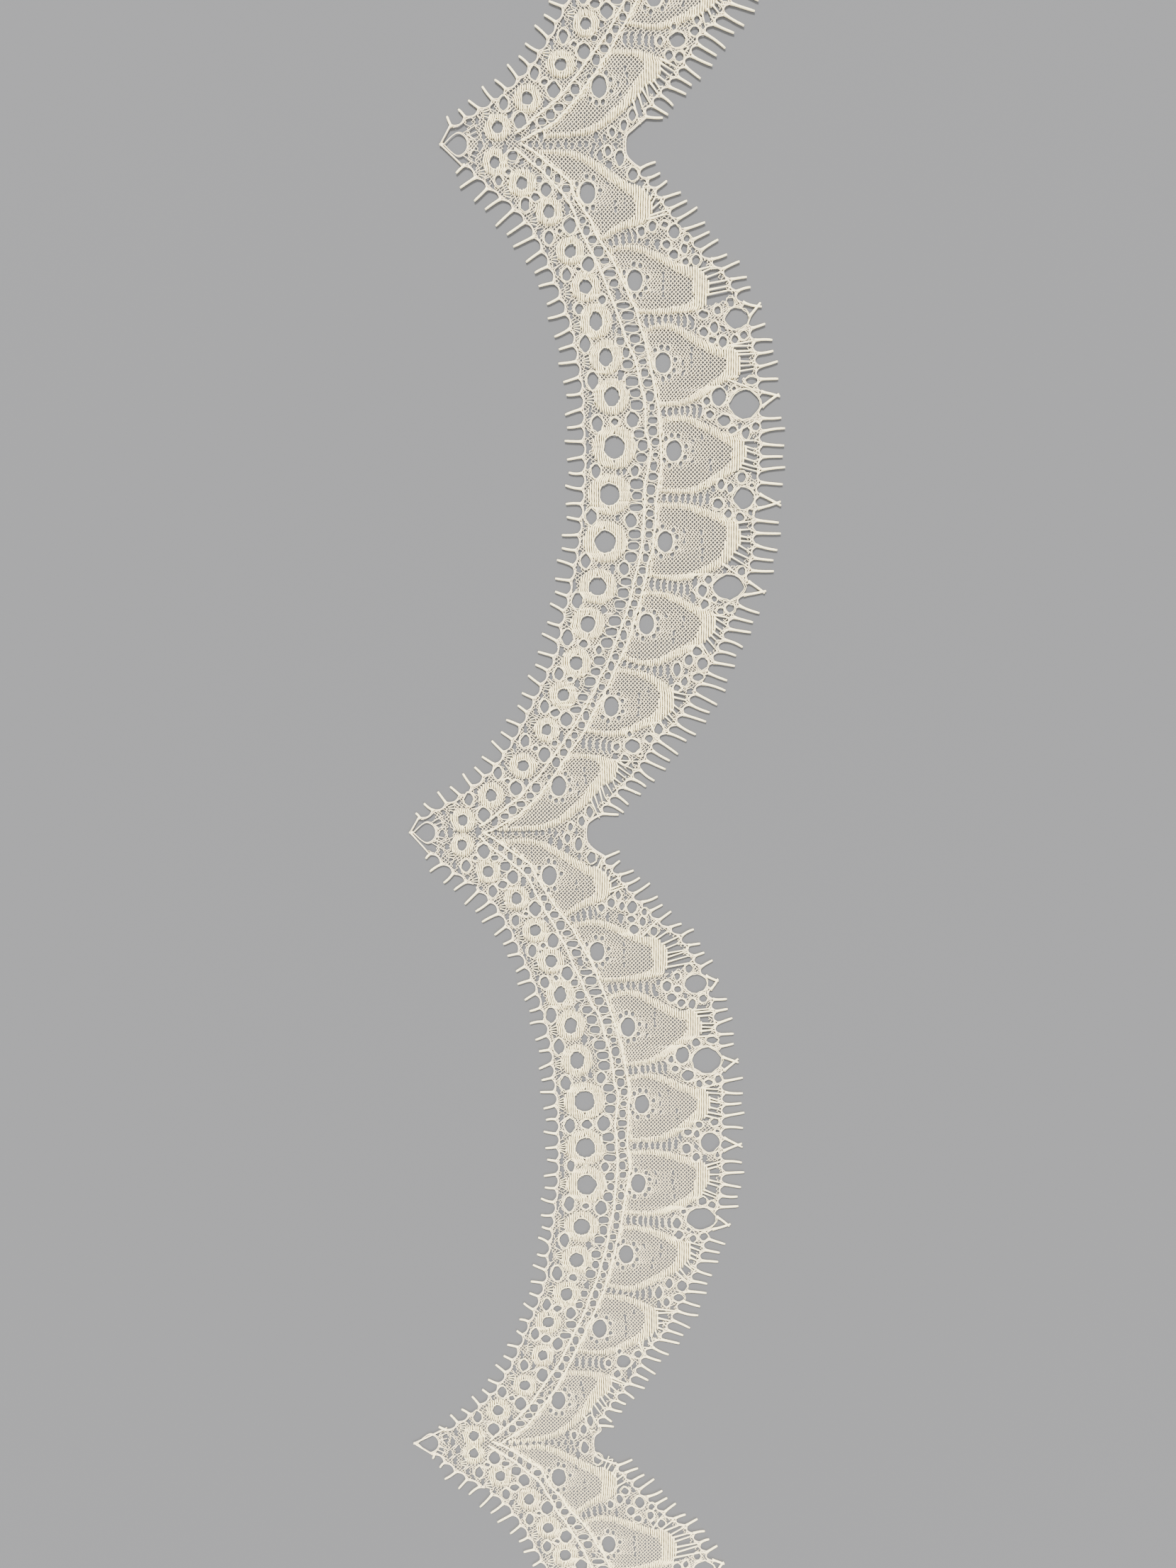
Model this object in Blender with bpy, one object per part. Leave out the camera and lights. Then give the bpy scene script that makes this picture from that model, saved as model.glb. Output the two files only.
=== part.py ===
"""A cut length of ivory lace edging, modelled flat as one thin sheet.

The edging runs along Y and lies on the XY plane. Its ring row follows one arc
in each repeat, and neighbouring repeats meet at a sharp corner. Most places
are given in the repeat's own measures: how far along the ring row, from 0 at
its upper corner to 1 at its lower corner, and how many millimetres out from
the row, towards the scalloped side.
"""
import math

import bmesh
import bpy
from mathutils import Matrix, Vector

MM = 0.001
THICKNESS = 1.0
NET_DEPTH = 0.3

# The finished length is cut straight across at these heights, in mm.
TOP = 122.0
BOTTOM = -136.4
# The middle of the sheet's box, which becomes the origin.
MIDDLE_X = 0.53
MIDDLE_Y = -7.2
# Nothing is pierced or pressed nearer to a cut end than this.
END_MARGIN = 0.9
# No thread leaves the edge, and no gap lies, nearer to a corner than this.
NOTCH_HALF_WIDTH = 2.5
TIP_HALF_WIDTH = 1.7
NOTCH_WALL = 1.5

# Each repeat: centre x and y of the ring row's arc, its radius, and its first
# and last angle in degrees, growing downwards.
REPEATS = (
    (-62.5, 150.2, 72.5, -43.1, 49.4),
    (-66.9, 47.1, 71.2, -42.9, 50.4),
    (-73.6, -59.1, 73.8, -44.7, 43.8),
    (-68.7, -162.8, 72.5, -48.3, 43.2),
)
# Each corner between two repeats: its height, the x of its pointed tip, and
# the x of the notch opposite.
CORNERS = (
    (94.9, -22.0, 5.6),
    (-7.6, -28.0, -0.2),
    (-109.2, -28.8, 1.0),
)

# Rings: along and out in the upper repeats, along and out in the lower ones,
# then the hole's width and height.
RINGS = (
    (0.026, -1.4, 0.024, -0.6, 1.6, 1.9),
    (0.068, -0.1, 0.075, -0.2, 1.8, 2.0),
    (0.116, 0.9, 0.128, 0.9, 1.8, 2.1),
    (0.171, 0.9, 0.179, 0.7, 1.9, 2.0),
    (0.219, 0.8, 0.227, 0.7, 2.0, 2.2),
    (0.263, 0.5, 0.276, 0.0, 2.0, 2.8),
    (0.310, 0.5, 0.322, 0.0, 2.1, 2.8),
    (0.360, 0.2, 0.373, -0.4, 2.4, 2.9),
    (0.424, -0.2, 0.433, -0.3, 3.3, 3.5),
    (0.485, -1.0, 0.501, -0.6, 3.2, 3.3),
    (0.547, -1.0, 0.556, -0.2, 3.3, 3.4),
    (0.607, -0.8, 0.618, -0.1, 2.8, 2.8),
    (0.658, -0.7, 0.668, 0.3, 2.4, 2.6),
    (0.712, -0.2, 0.721, 0.4, 2.1, 2.3),
    (0.758, 0.1, 0.769, -0.7, 2.0, 2.0),
    (0.809, 0.6, 0.818, 1.0, 1.7, 1.9),
    (0.866, 0.8, 0.870, 1.0, 1.9, 1.9),
    (0.924, 0.0, 0.923, -0.1, 1.8, 2.0),
    (0.975, -0.3, 0.976, -0.4, 1.7, 1.9),
)

# Petals, in the upper repeats: the middle of the oval hole, then the outline
# from the upper end of its base, round its crown, to the lower end.
PETALS = (
    ((0.122, 7.2),
     (0.045, 4.0), (0.080, 9.2), (0.135, 13.0), (0.160, 15.0), (0.181, 12.4), (0.177, 8.5), (0.178, 5.6)),
    ((0.234, 8.0),
     (0.188, 6.0), (0.200, 10.4), (0.238, 15.6), (0.262, 18.3), (0.286, 16.0), (0.281, 11.0), (0.270, 6.7)),
    ((0.332, 8.7),
     (0.289, 6.9), (0.292, 11.2), (0.327, 17.0), (0.347, 20.2), (0.363, 18.0), (0.381, 11.8), (0.380, 6.8)),
    ((0.432, 8.8),
     (0.394, 6.8), (0.395, 11.2), (0.419, 17.5), (0.436, 19.8), (0.458, 17.5), (0.479, 12.0), (0.480, 6.5)),
    ((0.537, 8.1),
     (0.493, 6.3), (0.492, 11.0), (0.503, 17.5), (0.525, 19.6), (0.553, 17.5), (0.577, 12.0), (0.581, 6.3)),
    ((0.636, 7.9),
     (0.598, 6.1), (0.595, 10.5), (0.604, 16.2), (0.620, 18.3), (0.648, 16.0), (0.680, 10.8), (0.685, 5.9)),
    ((0.743, 7.5),
     (0.697, 5.9), (0.690, 10.0), (0.693, 14.2), (0.716, 16.4), (0.742, 14.4), (0.772, 10.4), (0.786, 5.7)),
    ((0.859, 7.1),
     (0.818, 5.6), (0.803, 8.8), (0.797, 11.8), (0.814, 13.6), (0.860, 12.2), (0.905, 10.2), (0.953, 4.5)),
)
OVAL_WIDTH = 2.4
OVAL_HEIGHT = 3.2
# How far inside the outline the sheer net begins, at each of its points.
PETAL_BORDER = (0.5, 0.9, 1.5, 2.3, 1.5, 0.9, 0.5)

# Gaps between the petals and the outer edge, in the upper repeats: along,
# out, width and height.
GAPS = (
    (0.110, 13.8, 1.2, 2.0),
    (0.131, 14.3, 1.3, 1.7),
    (0.188, 13.4, 1.1, 1.5),
    (0.203, 16.0, 1.5, 1.9),
    (0.223, 16.5, 1.0, 1.4),
    (0.238, 17.5, 1.2, 1.4),
    (0.272, 20.6, 1.5, 1.1),
    (0.281, 18.8, 1.3, 1.3),
    (0.305, 20.9, 3.2, 2.8),
    (0.367, 21.3, 1.7, 1.1),
    (0.378, 16.2, 2.0, 2.6),
    (0.389, 19.9, 4.2, 3.9),
    (0.403, 16.6, 1.9, 1.7),
    (0.483, 19.4, 2.8, 3.0),
    (0.490, 15.6, 1.4, 1.6),
    (0.575, 18.8, 4.3, 3.4),
    (0.584, 15.0, 1.3, 1.8),
    (0.659, 18.0, 1.6, 1.8),
    (0.674, 14.6, 1.1, 2.0),
    (0.756, 15.0, 1.2, 1.2),
    (0.772, 13.3, 2.2, 2.0),
    (0.849, 14.0, 1.3, 1.9),
)
# How much further along the petals and gaps lie in the lower repeats.
LOWER_SHIFT = (
    (0.00, 0.003),
    (0.24, 0.006),
    (0.35, 0.013),
    (0.50, 0.013),
    (0.62, 0.009),
    (0.75, 0.008),
    (0.95, 0.003),
)

# The cord between the ring row and the petals: along, out.
INNER_CORD = (
    (0.00, 1.2),
    (0.06, 2.8),
    (0.11, 4.0),
    (0.16, 3.7),
    (0.28, 3.9),
    (0.33, 4.8),
    (0.43, 5.1),
    (0.48, 4.4),
    (0.60, 4.5),
    (0.80, 3.9),
    (0.90, 3.5),
    (1.00, 1.2),
)

# The scalloped edge and the heading: along, where the clipped threads leave
# the net, and where they end.
SCALLOP_EDGE = (
    (0.112, 15.1, 16.6),
    (0.145, 16.3, 18.0),
    (0.170, 17.0, 19.3),
    (0.200, 17.6, 20.6),
    (0.235, 19.3, 21.6),
    (0.260, 21.6, 23.6),
    (0.305, 23.0, 25.0),
    (0.340, 23.2, 25.4),
    (0.390, 22.8, 25.3),
    (0.440, 22.5, 25.4),
    (0.503, 21.8, 25.1),
    (0.530, 22.3, 25.2),
    (0.570, 21.9, 24.8),
    (0.600, 21.0, 23.9),
    (0.640, 20.2, 22.8),
    (0.690, 19.0, 22.3),
    (0.730, 18.2, 21.2),
    (0.755, 16.7, 19.9),
    (0.800, 16.4, 18.7),
    (0.830, 15.6, 17.6),
    (0.872, 15.1, 16.6),
)
HEADING_EDGE = (
    (-0.030, -5.2, -5.9),
    (0.020, -5.3, -7.5),
    (0.050, -4.8, -7.3),
    (0.080, -3.8, -6.9),
    (0.115, -3.1, -6.2),
    (0.160, -3.2, -5.6),
    (0.200, -3.6, -5.4),
    (0.260, -3.8, -6.0),
    (0.340, -4.5, -6.7),
    (0.400, -5.2, -7.3),
    (0.500, -5.5, -7.6),
    (0.600, -5.4, -7.5),
    (0.670, -5.0, -6.8),
    (0.710, -4.1, -6.3),
    (0.790, -3.9, -5.6),
    (0.850, -3.2, -5.2),
    (0.900, -3.0, -5.0),
    (0.950, -3.6, -5.5),
    (1.000, -4.8, -6.2),
    (1.030, -5.2, -6.0),
)
# Gaps round the rings, width and height: between two rings at the middle, at
# the cord and at the heading, and beside a large ring at the cord.
MIDDLE_GAP = (1.9, 1.8)
CORD_GAP = (1.6, 2.1)
HEADING_GAP = (1.3, 2.1)
SIDE_GAP = (1.7, 1.6)
# How far out these gaps lie from the ring row or, for the last, the cord.
CORD_GAP_OUT = 0.6
HEADING_GAP_OUT = -2.3
SIDE_GAP_OUT = -0.95
# The stretch along where the rings are large enough for all of these.
LARGE_RINGS = (0.28, 0.72)
# A hole wider than the first value is drawn with more sides, as is a gap
# wider than the second.
LARGE_RING_HOLE = 2.6
LARGE_GAP = 1.6
# Where the diamond loop lies inside each pointed tip, and its size.
TIP_LOOP_IN = 3.5
TIP_LOOP = (2.2, 2.3)

SCALLOP_PITCH = 1.9
HEADING_PITCH = 2.3
THREAD_ROOT = 0.55
THREAD_TIP = 0.38
# How far a clipped thread's end strays along the edge and in its length.
STRAY_SIDEWAYS = 0.45
STRAY_LENGTH = 0.35
# The ends are clipped a little closer in the lower repeats.
LOWER_TRIM = 0.5


def place(repeat, along, out):
    """Return the point at these repeat measures, as x and y in mm."""
    x, y, radius, first, last = REPEATS[repeat]
    angle = math.radians(first + along * (last - first))
    reach = radius + out
    return (x + reach * math.cos(angle), y - reach * math.sin(angle))


def level(table, along, column=1):
    """Read a table's column at this distance along, straight between rows."""
    if along <= table[0][0]:
        return table[0][column]
    for before, after in zip(table, table[1:]):
        if along <= after[0]:
            share = (along - before[0]) / (after[0] - before[0])
            return before[column] + share * (after[column] - before[column])
    return table[-1][column]


def is_lower(repeat):
    return repeat >= 2


def shifted(repeat, along):
    """Move a petal or gap along to where this repeat has it."""
    return along + (level(LOWER_SHIFT, along) if is_lower(repeat) else 0.0)


def stray(index, phase):
    """Return an even spread of small differences, from -1 to 1."""
    golden = 0.618034
    return 2.0 * ((index * golden + phase) % 1.0) - 1.0


def between_cuts(points, margin=END_MARGIN):
    heights = [point[1] for point in points]
    return min(heights) > BOTTOM + margin and max(heights) < TOP - margin


def ellipse(centre, width, height, sides, start=0.0):
    """Return the corners of a round hole, anticlockwise."""
    corners = []
    for index in range(sides):
        angle = 2.0 * math.pi * (index + start) / sides
        x = centre[0] + 0.5 * width * math.cos(angle)
        y = centre[1] + 0.5 * height * math.sin(angle)
        corners.append((x, y))
    return corners


def clear_of_corners(point, distance):
    return all(abs(point[1] - corner[0]) > distance for corner in CORNERS)


def clipped_threads(repeat, table, pitch, column_phase, corner_distance):
    """Return the corners of each clipped thread along one edge, in order."""
    radius = REPEATS[repeat][2]
    span = math.radians(REPEATS[repeat][4] - REPEATS[repeat][3])
    first, last = table[0][0], table[-1][0]
    middle_reach = radius + level(table, 0.5)
    count = round((last - first) * span * middle_reach / pitch)
    threads = []
    for index in range(count):
        along = first + (last - first) * (index + 0.5) / count
        root_out = level(table, along, 1)
        tip_out = level(table, along, 2)
        side = 1.0 if tip_out > root_out else -1.0
        trim = LOWER_TRIM if is_lower(repeat) else 0.0
        tip_out += side * (STRAY_LENGTH * stray(index, column_phase) - trim)
        per_mm = 1.0 / (span * (radius + root_out))
        lean = STRAY_SIDEWAYS * stray(index, column_phase + 0.3) * per_mm
        half_root = 0.5 * THREAD_ROOT * per_mm
        half_tip = 0.5 * THREAD_TIP * per_mm
        thread = [
            place(repeat, along - half_root, root_out),
            place(repeat, along + lean - half_tip, tip_out),
            place(repeat, along + lean + half_tip, tip_out),
            place(repeat, along + half_root, root_out),
        ]
        clear = clear_of_corners(thread[0], corner_distance) and clear_of_corners(thread[3], corner_distance)
        if clear and between_cuts(thread, THREAD_TIP):
            threads.append(thread)
    return threads


def scallop_threads(repeat):
    return clipped_threads(repeat, SCALLOP_EDGE, SCALLOP_PITCH, 0.15, NOTCH_HALF_WIDTH)


def heading_threads(repeat):
    return clipped_threads(repeat, HEADING_EDGE, HEADING_PITCH, 0.55, TIP_HALF_WIDTH)


def cut_corner(repeat, table, height):
    """Return where the edge's root line meets a straight cut."""
    low, high = table[0][0], table[-1][0]
    for _ in range(40):
        middle = 0.5 * (low + high)
        if place(repeat, middle, level(table, middle))[1] > height:
            low = middle
        else:
            high = middle
    return (place(repeat, low, level(table, low))[0], height)


def notch(corner):
    """Return the rounded inner end of the notch between two scallops."""
    height, _, x = corner
    return [(x + 0.7, height + 2.2), (x, height + 0.9), (x, height - 0.9), (x + 0.7, height - 2.2)]


def pointed_tip(corner):
    """Return the blunt point of the heading at a corner, from below."""
    height, x, _ = corner
    return [(x + 1.3, height - 1.0), (x, height - 0.4), (x, height + 0.4), (x + 1.3, height + 1.0)]


def outline():
    """Return the sheet's outline, clockwise from its upper right cut corner."""
    last = len(REPEATS) - 1
    points = [cut_corner(0, SCALLOP_EDGE, TOP)]
    for repeat in range(len(REPEATS)):
        for thread in scallop_threads(repeat):
            points += thread
        if repeat < last:
            points += notch(CORNERS[repeat])
    points.append(cut_corner(last, SCALLOP_EDGE, BOTTOM))
    points.append(cut_corner(last, HEADING_EDGE, BOTTOM))
    for repeat in reversed(range(len(REPEATS))):
        for thread in reversed(heading_threads(repeat)):
            points += reversed(thread)
        if repeat > 0:
            points += pointed_tip(CORNERS[repeat - 1])
    points.append(cut_corner(0, HEADING_EDGE, TOP))
    return points


def ring_place(repeat, row):
    first = 2 if is_lower(repeat) else 0
    return (row[first], row[first + 1])


def ring_holes(repeat):
    """Return the round holes in the middle of the rings."""
    holes = []
    for row in RINGS:
        width, height = row[4:6]
        sides = 10 if width > LARGE_RING_HOLE else 8
        centre = place(repeat, *ring_place(repeat, row))
        holes.append(ellipse(centre, width, height, sides, 0.5))
    return holes


def ladder_holes(repeat):
    """Return the gaps round the rings: between two of them, and by the cord."""
    holes = []
    first, last = LARGE_RINGS
    for above, below in zip(RINGS[1:-1], RINGS[2:-1]):
        along_above, out_above = ring_place(repeat, above)
        along_below, out_below = ring_place(repeat, below)
        along = 0.5 * (along_above + along_below)
        out = 0.5 * (out_above + out_below)
        holes.append(ellipse(place(repeat, along, out), *MIDDLE_GAP, 4))
        by_cord = 0.5 * (out + level(INNER_CORD, along)) + CORD_GAP_OUT
        holes.append(ellipse(place(repeat, along, by_cord), *CORD_GAP, 5))
        if first < along < last:
            holes.append(ellipse(place(repeat, along, out + HEADING_GAP_OUT), *HEADING_GAP, 4))
    for row in RINGS:
        along = ring_place(repeat, row)[0]
        if first < along < last:
            out = level(INNER_CORD, along) + SIDE_GAP_OUT
            holes.append(ellipse(place(repeat, along, out), *SIDE_GAP, 4, 0.5))
    return holes


def petal_holes(repeat):
    """Return the oval hole of each petal and the gaps round the petals."""
    holes = []
    for row in PETALS:
        along, out = row[0]
        centre = place(repeat, shifted(repeat, along), out)
        holes.append(ellipse(centre, OVAL_WIDTH, OVAL_HEIGHT, 10))
    for along, out, width, height in GAPS:
        sides = 8 if width > LARGE_GAP else 5
        centre = Vector(place(repeat, shifted(repeat, along), out))
        walls = [(centre - Vector(end)).length for corner in CORNERS for end in notch(corner)]
        if min(walls) > NOTCH_WALL:
            holes.append(ellipse(centre, width, height, sides, 0.5))
    return holes


def tip_holes():
    """Return the diamond loop at each pointed tip."""
    return [ellipse((x + TIP_LOOP_IN, height), *TIP_LOOP, 4) for height, x, _ in CORNERS]


def all_holes():
    holes = tip_holes()
    for repeat in range(len(REPEATS)):
        found = ring_holes(repeat) + petal_holes(repeat) + ladder_holes(repeat)
        holes += [hole for hole in found if between_cuts(hole)]
    return holes


def clip_to_cuts(points):
    """Trim a shape so that it keeps clear of the two cut ends."""
    for limit, keep in ((TOP - END_MARGIN, 1.0), (BOTTOM + END_MARGIN, -1.0)):
        kept = []
        for start, end in zip(points, points[1:] + points[:1]):
            start_in = keep * (limit - start[1]) >= 0.0
            end_in = keep * (limit - end[1]) >= 0.0
            if start_in:
                kept.append(start)
            if start_in != end_in:
                share = (limit - start[1]) / (end[1] - start[1])
                kept.append((start[0] + share * (end[0] - start[0]), limit))
        points = kept
    return points


def petal_net(repeat, row):
    """Return the outline of a petal's sheer net, inside its border."""
    corners = [Vector(place(repeat, shifted(repeat, along), out)) for along, out in row[1:]]
    inner = []
    for index, corner in enumerate(corners):
        before = (corners[index - 1] - corner).normalized()
        after = (corners[(index + 1) % len(corners)] - corner).normalized()
        inward = Vector((after.x - before.x, after.y - before.y))
        inward = Vector((inward.y, -inward.x)).normalized()
        inner.append(tuple(corner + inward * PETAL_BORDER[index]))
    return clip_to_cuts(inner)


def flat_solid(name, outlines, thickness, bottom):
    """Fill closed outlines in mm and give them a thickness, as a mesh in m."""
    curve = bpy.data.curves.new(name + "_curve", "CURVE")
    curve.dimensions = "2D"
    curve.fill_mode = "BOTH"
    curve.extrude = 0.5 * thickness
    for points in outlines:
        spline = curve.splines.new("POLY")
        spline.points.add(len(points) - 1)
        for target, (x, y) in zip(spline.points, points):
            target.co = (x - MIDDLE_X, y - MIDDLE_Y, 0.0, 1.0)
        spline.use_cyclic_u = True
    guide = bpy.data.objects.new(name + "_guide", curve)
    bpy.context.scene.collection.objects.link(guide)
    evaluated = guide.evaluated_get(bpy.context.evaluated_depsgraph_get())
    mesh = bpy.data.meshes.new_from_object(evaluated)
    bpy.data.objects.remove(guide, do_unlink=True)
    mesh.name = name
    shape = bmesh.new()
    shape.from_mesh(mesh)
    bmesh.ops.remove_doubles(shape, verts=shape.verts, dist=0.0005)
    lift = Matrix.Translation((0.0, 0.0, bottom + 0.5 * thickness))
    bmesh.ops.transform(shape, matrix=Matrix.Scale(MM, 4) @ lift, verts=shape.verts)
    bmesh.ops.recalc_face_normals(shape, faces=shape.faces)
    shape.to_mesh(mesh)
    shape.free()
    return bpy.data.objects.new(name, mesh)


def collection(name):
    made = bpy.data.collections.new(name)
    bpy.context.scene.collection.children.link(made)
    return made


def ivory_cotton():
    """Return the material of the whole edging."""
    material = bpy.data.materials.new("ivory_cotton")
    material.use_nodes = True
    shader = material.node_tree.nodes["Principled BSDF"]
    shader.inputs["Base Color"].default_value = (0.83, 0.77, 0.64, 1.0)
    shader.inputs["Roughness"].default_value = 0.9
    shader.inputs["Metallic"].default_value = 0.0
    return material


def net_cutter():
    """Make the shapes that press the petals' sheer nets into the top face."""
    nets = []
    for repeat in range(len(REPEATS)):
        nets += [petal_net(repeat, row) for row in PETALS]
    nets = [net for net in nets if len(net) > 2]
    cutter = flat_solid("petal_nets", nets, 2.0 * NET_DEPTH, THICKNESS - NET_DEPTH)
    cutter.display_type = "WIRE"
    cutter.hide_render = True
    return cutter


def lace_edging():
    """Make the whole edging as one sheet."""
    sheet = flat_solid("lace_edging", [outline()] + all_holes(), THICKNESS, 0.0)
    sheet.data.materials.append(ivory_cotton())
    return sheet


def main():
    for item in list(bpy.data.objects):
        bpy.data.objects.remove(item, do_unlink=True)
    cutter = net_cutter()
    collection("cutters").objects.link(cutter)
    sheet = lace_edging()
    collection("lace_edging").objects.link(sheet)
    press = sheet.modifiers.new("petal_nets", "BOOLEAN")
    press.operation = "DIFFERENCE"
    press.solver = "EXACT"
    press.object = cutter


main()
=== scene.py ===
"""Dresses the ivory lace edging: every thread of its openwork, made as joined meshes.

The edging lies flat along Y. Its pattern is set out in millimetres, with the
repeat's own measures: how far along the ring row, from 0 at the upper corner of
a repeat to 1 at its lower corner, and how far out towards the scalloped side.
"""
import functools
import math

import bpy
import numpy as np
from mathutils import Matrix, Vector


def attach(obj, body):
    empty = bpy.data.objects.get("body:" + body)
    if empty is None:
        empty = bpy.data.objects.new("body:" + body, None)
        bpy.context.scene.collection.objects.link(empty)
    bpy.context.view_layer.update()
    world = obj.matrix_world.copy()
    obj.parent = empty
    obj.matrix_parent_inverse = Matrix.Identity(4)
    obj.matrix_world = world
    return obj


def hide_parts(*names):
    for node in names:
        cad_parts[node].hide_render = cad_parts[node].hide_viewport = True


bl_info = {
    "name": "Lace edging",
    "version": (1, 0, 0),
    "blender": (4, 5, 0),
    "location": "3D View > Sidebar > Lace",
    "description": "Makes a cut length of scalloped lace edging, thread by thread",
    "category": "Add Mesh",
}

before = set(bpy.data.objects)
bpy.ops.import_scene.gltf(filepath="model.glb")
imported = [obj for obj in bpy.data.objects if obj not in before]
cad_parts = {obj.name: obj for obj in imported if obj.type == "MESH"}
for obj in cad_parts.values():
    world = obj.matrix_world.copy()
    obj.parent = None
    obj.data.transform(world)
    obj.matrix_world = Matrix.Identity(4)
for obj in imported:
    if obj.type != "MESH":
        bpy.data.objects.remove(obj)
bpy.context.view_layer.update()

MM = 0.001
NODE = "lace_edging"
# The dense parts are joined into this one piece.
CLOTH = "lace_cloth"

# The cut ends and the middle of the box, in mm, as in the part's source.
TOP = 122.0
BOTTOM = -136.4
# Every thread of the edging lies between these, in x.
LEFT, RIGHT = -32.0, 32.0
MIDDLE_X = 0.53
MIDDLE_Y = -7.2
# No clipped thread leaves the net this near to a notch or a tip, up or down.
NOTCH_HALF_WIDTH = 2.5
TIP_HALF_WIDTH = 1.7

# Each repeat: centre x and y of the ring row's arc, its radius, and its first
# and last angle in degrees, growing downwards.
REPEATS = (
    (-62.5, 150.2, 72.5, -43.1, 49.4),
    (-66.9, 47.1, 71.2, -42.9, 50.4),
    (-73.6, -59.1, 73.8, -44.7, 43.8),
    (-68.7, -162.8, 72.5, -48.3, 43.2),
)
# Each corner between two repeats: its height, the x of its tip and its notch.
CORNERS = (
    (94.9, -22.0, 5.6),
    (-7.6, -28.0, -0.2),
    (-109.2, -28.8, 1.0),
)

# Rings: along and out in the upper repeats, along and out in the lower ones,
# then the hole's width and height.
RINGS = (
    (0.026, -1.4, 0.024, -0.6, 1.6, 1.9), (0.068, -0.1, 0.075, -0.2, 1.8, 2.0),
    (0.116, 0.9, 0.128, 0.9, 1.8, 2.1), (0.171, 0.9, 0.179, 0.7, 1.9, 2.0),
    (0.219, 0.8, 0.227, 0.7, 2.0, 2.2), (0.263, 0.5, 0.276, 0.0, 2.0, 2.8),
    (0.310, 0.5, 0.322, 0.0, 2.1, 2.8), (0.360, 0.2, 0.373, -0.4, 2.4, 2.9),
    (0.424, -0.2, 0.433, -0.3, 3.3, 3.5), (0.485, -1.0, 0.501, -0.6, 3.2, 3.3),
    (0.547, -1.0, 0.556, -0.2, 3.3, 3.4), (0.607, -0.8, 0.618, -0.1, 2.8, 2.8),
    (0.658, -0.7, 0.668, 0.3, 2.4, 2.6), (0.712, -0.2, 0.721, 0.4, 2.1, 2.3),
    (0.758, 0.1, 0.769, -0.7, 2.0, 2.0), (0.809, 0.6, 0.818, 1.0, 1.7, 1.9),
    (0.866, 0.8, 0.870, 1.0, 1.9, 1.9), (0.924, 0.0, 0.923, -0.1, 1.8, 2.0),
    (0.975, -0.3, 0.976, -0.4, 1.7, 1.9),
)

# Petals, in the upper repeats: the middle of the oval hole, then the outline
# from the upper end of its base, round its crown, to the lower end.
PETALS = (
    ((0.122, 7.2),
     (0.045, 4.0), (0.080, 9.2), (0.135, 13.0), (0.160, 15.0), (0.181, 12.4), (0.177, 8.5), (0.178, 5.6)),
    ((0.234, 8.0),
     (0.188, 6.0), (0.200, 10.4), (0.238, 15.6), (0.262, 18.3), (0.286, 16.0), (0.281, 11.0), (0.270, 6.7)),
    ((0.332, 8.7),
     (0.289, 6.9), (0.292, 11.2), (0.327, 17.0), (0.347, 20.2), (0.363, 18.0), (0.381, 11.8), (0.380, 6.8)),
    ((0.432, 8.8),
     (0.394, 6.8), (0.395, 11.2), (0.419, 17.5), (0.436, 19.8), (0.458, 17.5), (0.479, 12.0), (0.480, 6.5)),
    ((0.537, 8.1),
     (0.493, 6.3), (0.492, 11.0), (0.503, 17.5), (0.525, 19.6), (0.553, 17.5), (0.577, 12.0), (0.581, 6.3)),
    ((0.636, 7.9),
     (0.598, 6.1), (0.595, 10.5), (0.604, 16.2), (0.620, 18.3), (0.648, 16.0), (0.680, 10.8), (0.685, 5.9)),
    ((0.743, 7.5),
     (0.697, 5.9), (0.690, 10.0), (0.693, 14.2), (0.716, 16.4), (0.742, 14.4), (0.772, 10.4), (0.786, 5.7)),
    ((0.859, 7.1),
     (0.818, 5.6), (0.803, 8.8), (0.797, 11.8), (0.814, 13.6), (0.860, 12.2), (0.905, 10.2), (0.953, 4.5)),
)
OVAL = (2.4, 3.2)
# How wide the dense border is at each point of a petal's outline.
PETAL_BORDER = (0.6, 1.0, 1.4, 1.8, 2.3, 1.8, 1.4, 1.0, 0.6)
BASE_BORDER = 0.45

# Gaps between the petals and the outer edge, in the upper repeats: along,
# out, width and height.
GAPS = (
    (0.110, 13.8, 1.2, 2.0), (0.131, 14.3, 1.3, 1.7), (0.188, 13.4, 1.1, 1.5), (0.203, 16.0, 1.5, 1.9),
    (0.223, 16.5, 1.0, 1.4), (0.238, 17.5, 1.2, 1.4), (0.272, 20.6, 1.5, 1.1), (0.281, 18.8, 1.3, 1.3),
    (0.305, 20.9, 3.2, 2.8), (0.367, 21.3, 1.7, 1.1), (0.378, 16.2, 2.0, 2.6), (0.389, 19.9, 4.2, 3.9),
    (0.403, 16.6, 1.9, 1.7), (0.483, 19.4, 2.8, 3.0), (0.490, 15.6, 1.4, 1.6), (0.575, 18.8, 4.3, 3.4),
    (0.584, 15.0, 1.3, 1.8), (0.659, 18.0, 1.6, 1.8), (0.674, 14.6, 1.1, 2.0), (0.756, 15.0, 1.2, 1.2),
    (0.772, 13.3, 2.2, 2.0), (0.849, 14.0, 1.3, 1.9),
)
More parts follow.
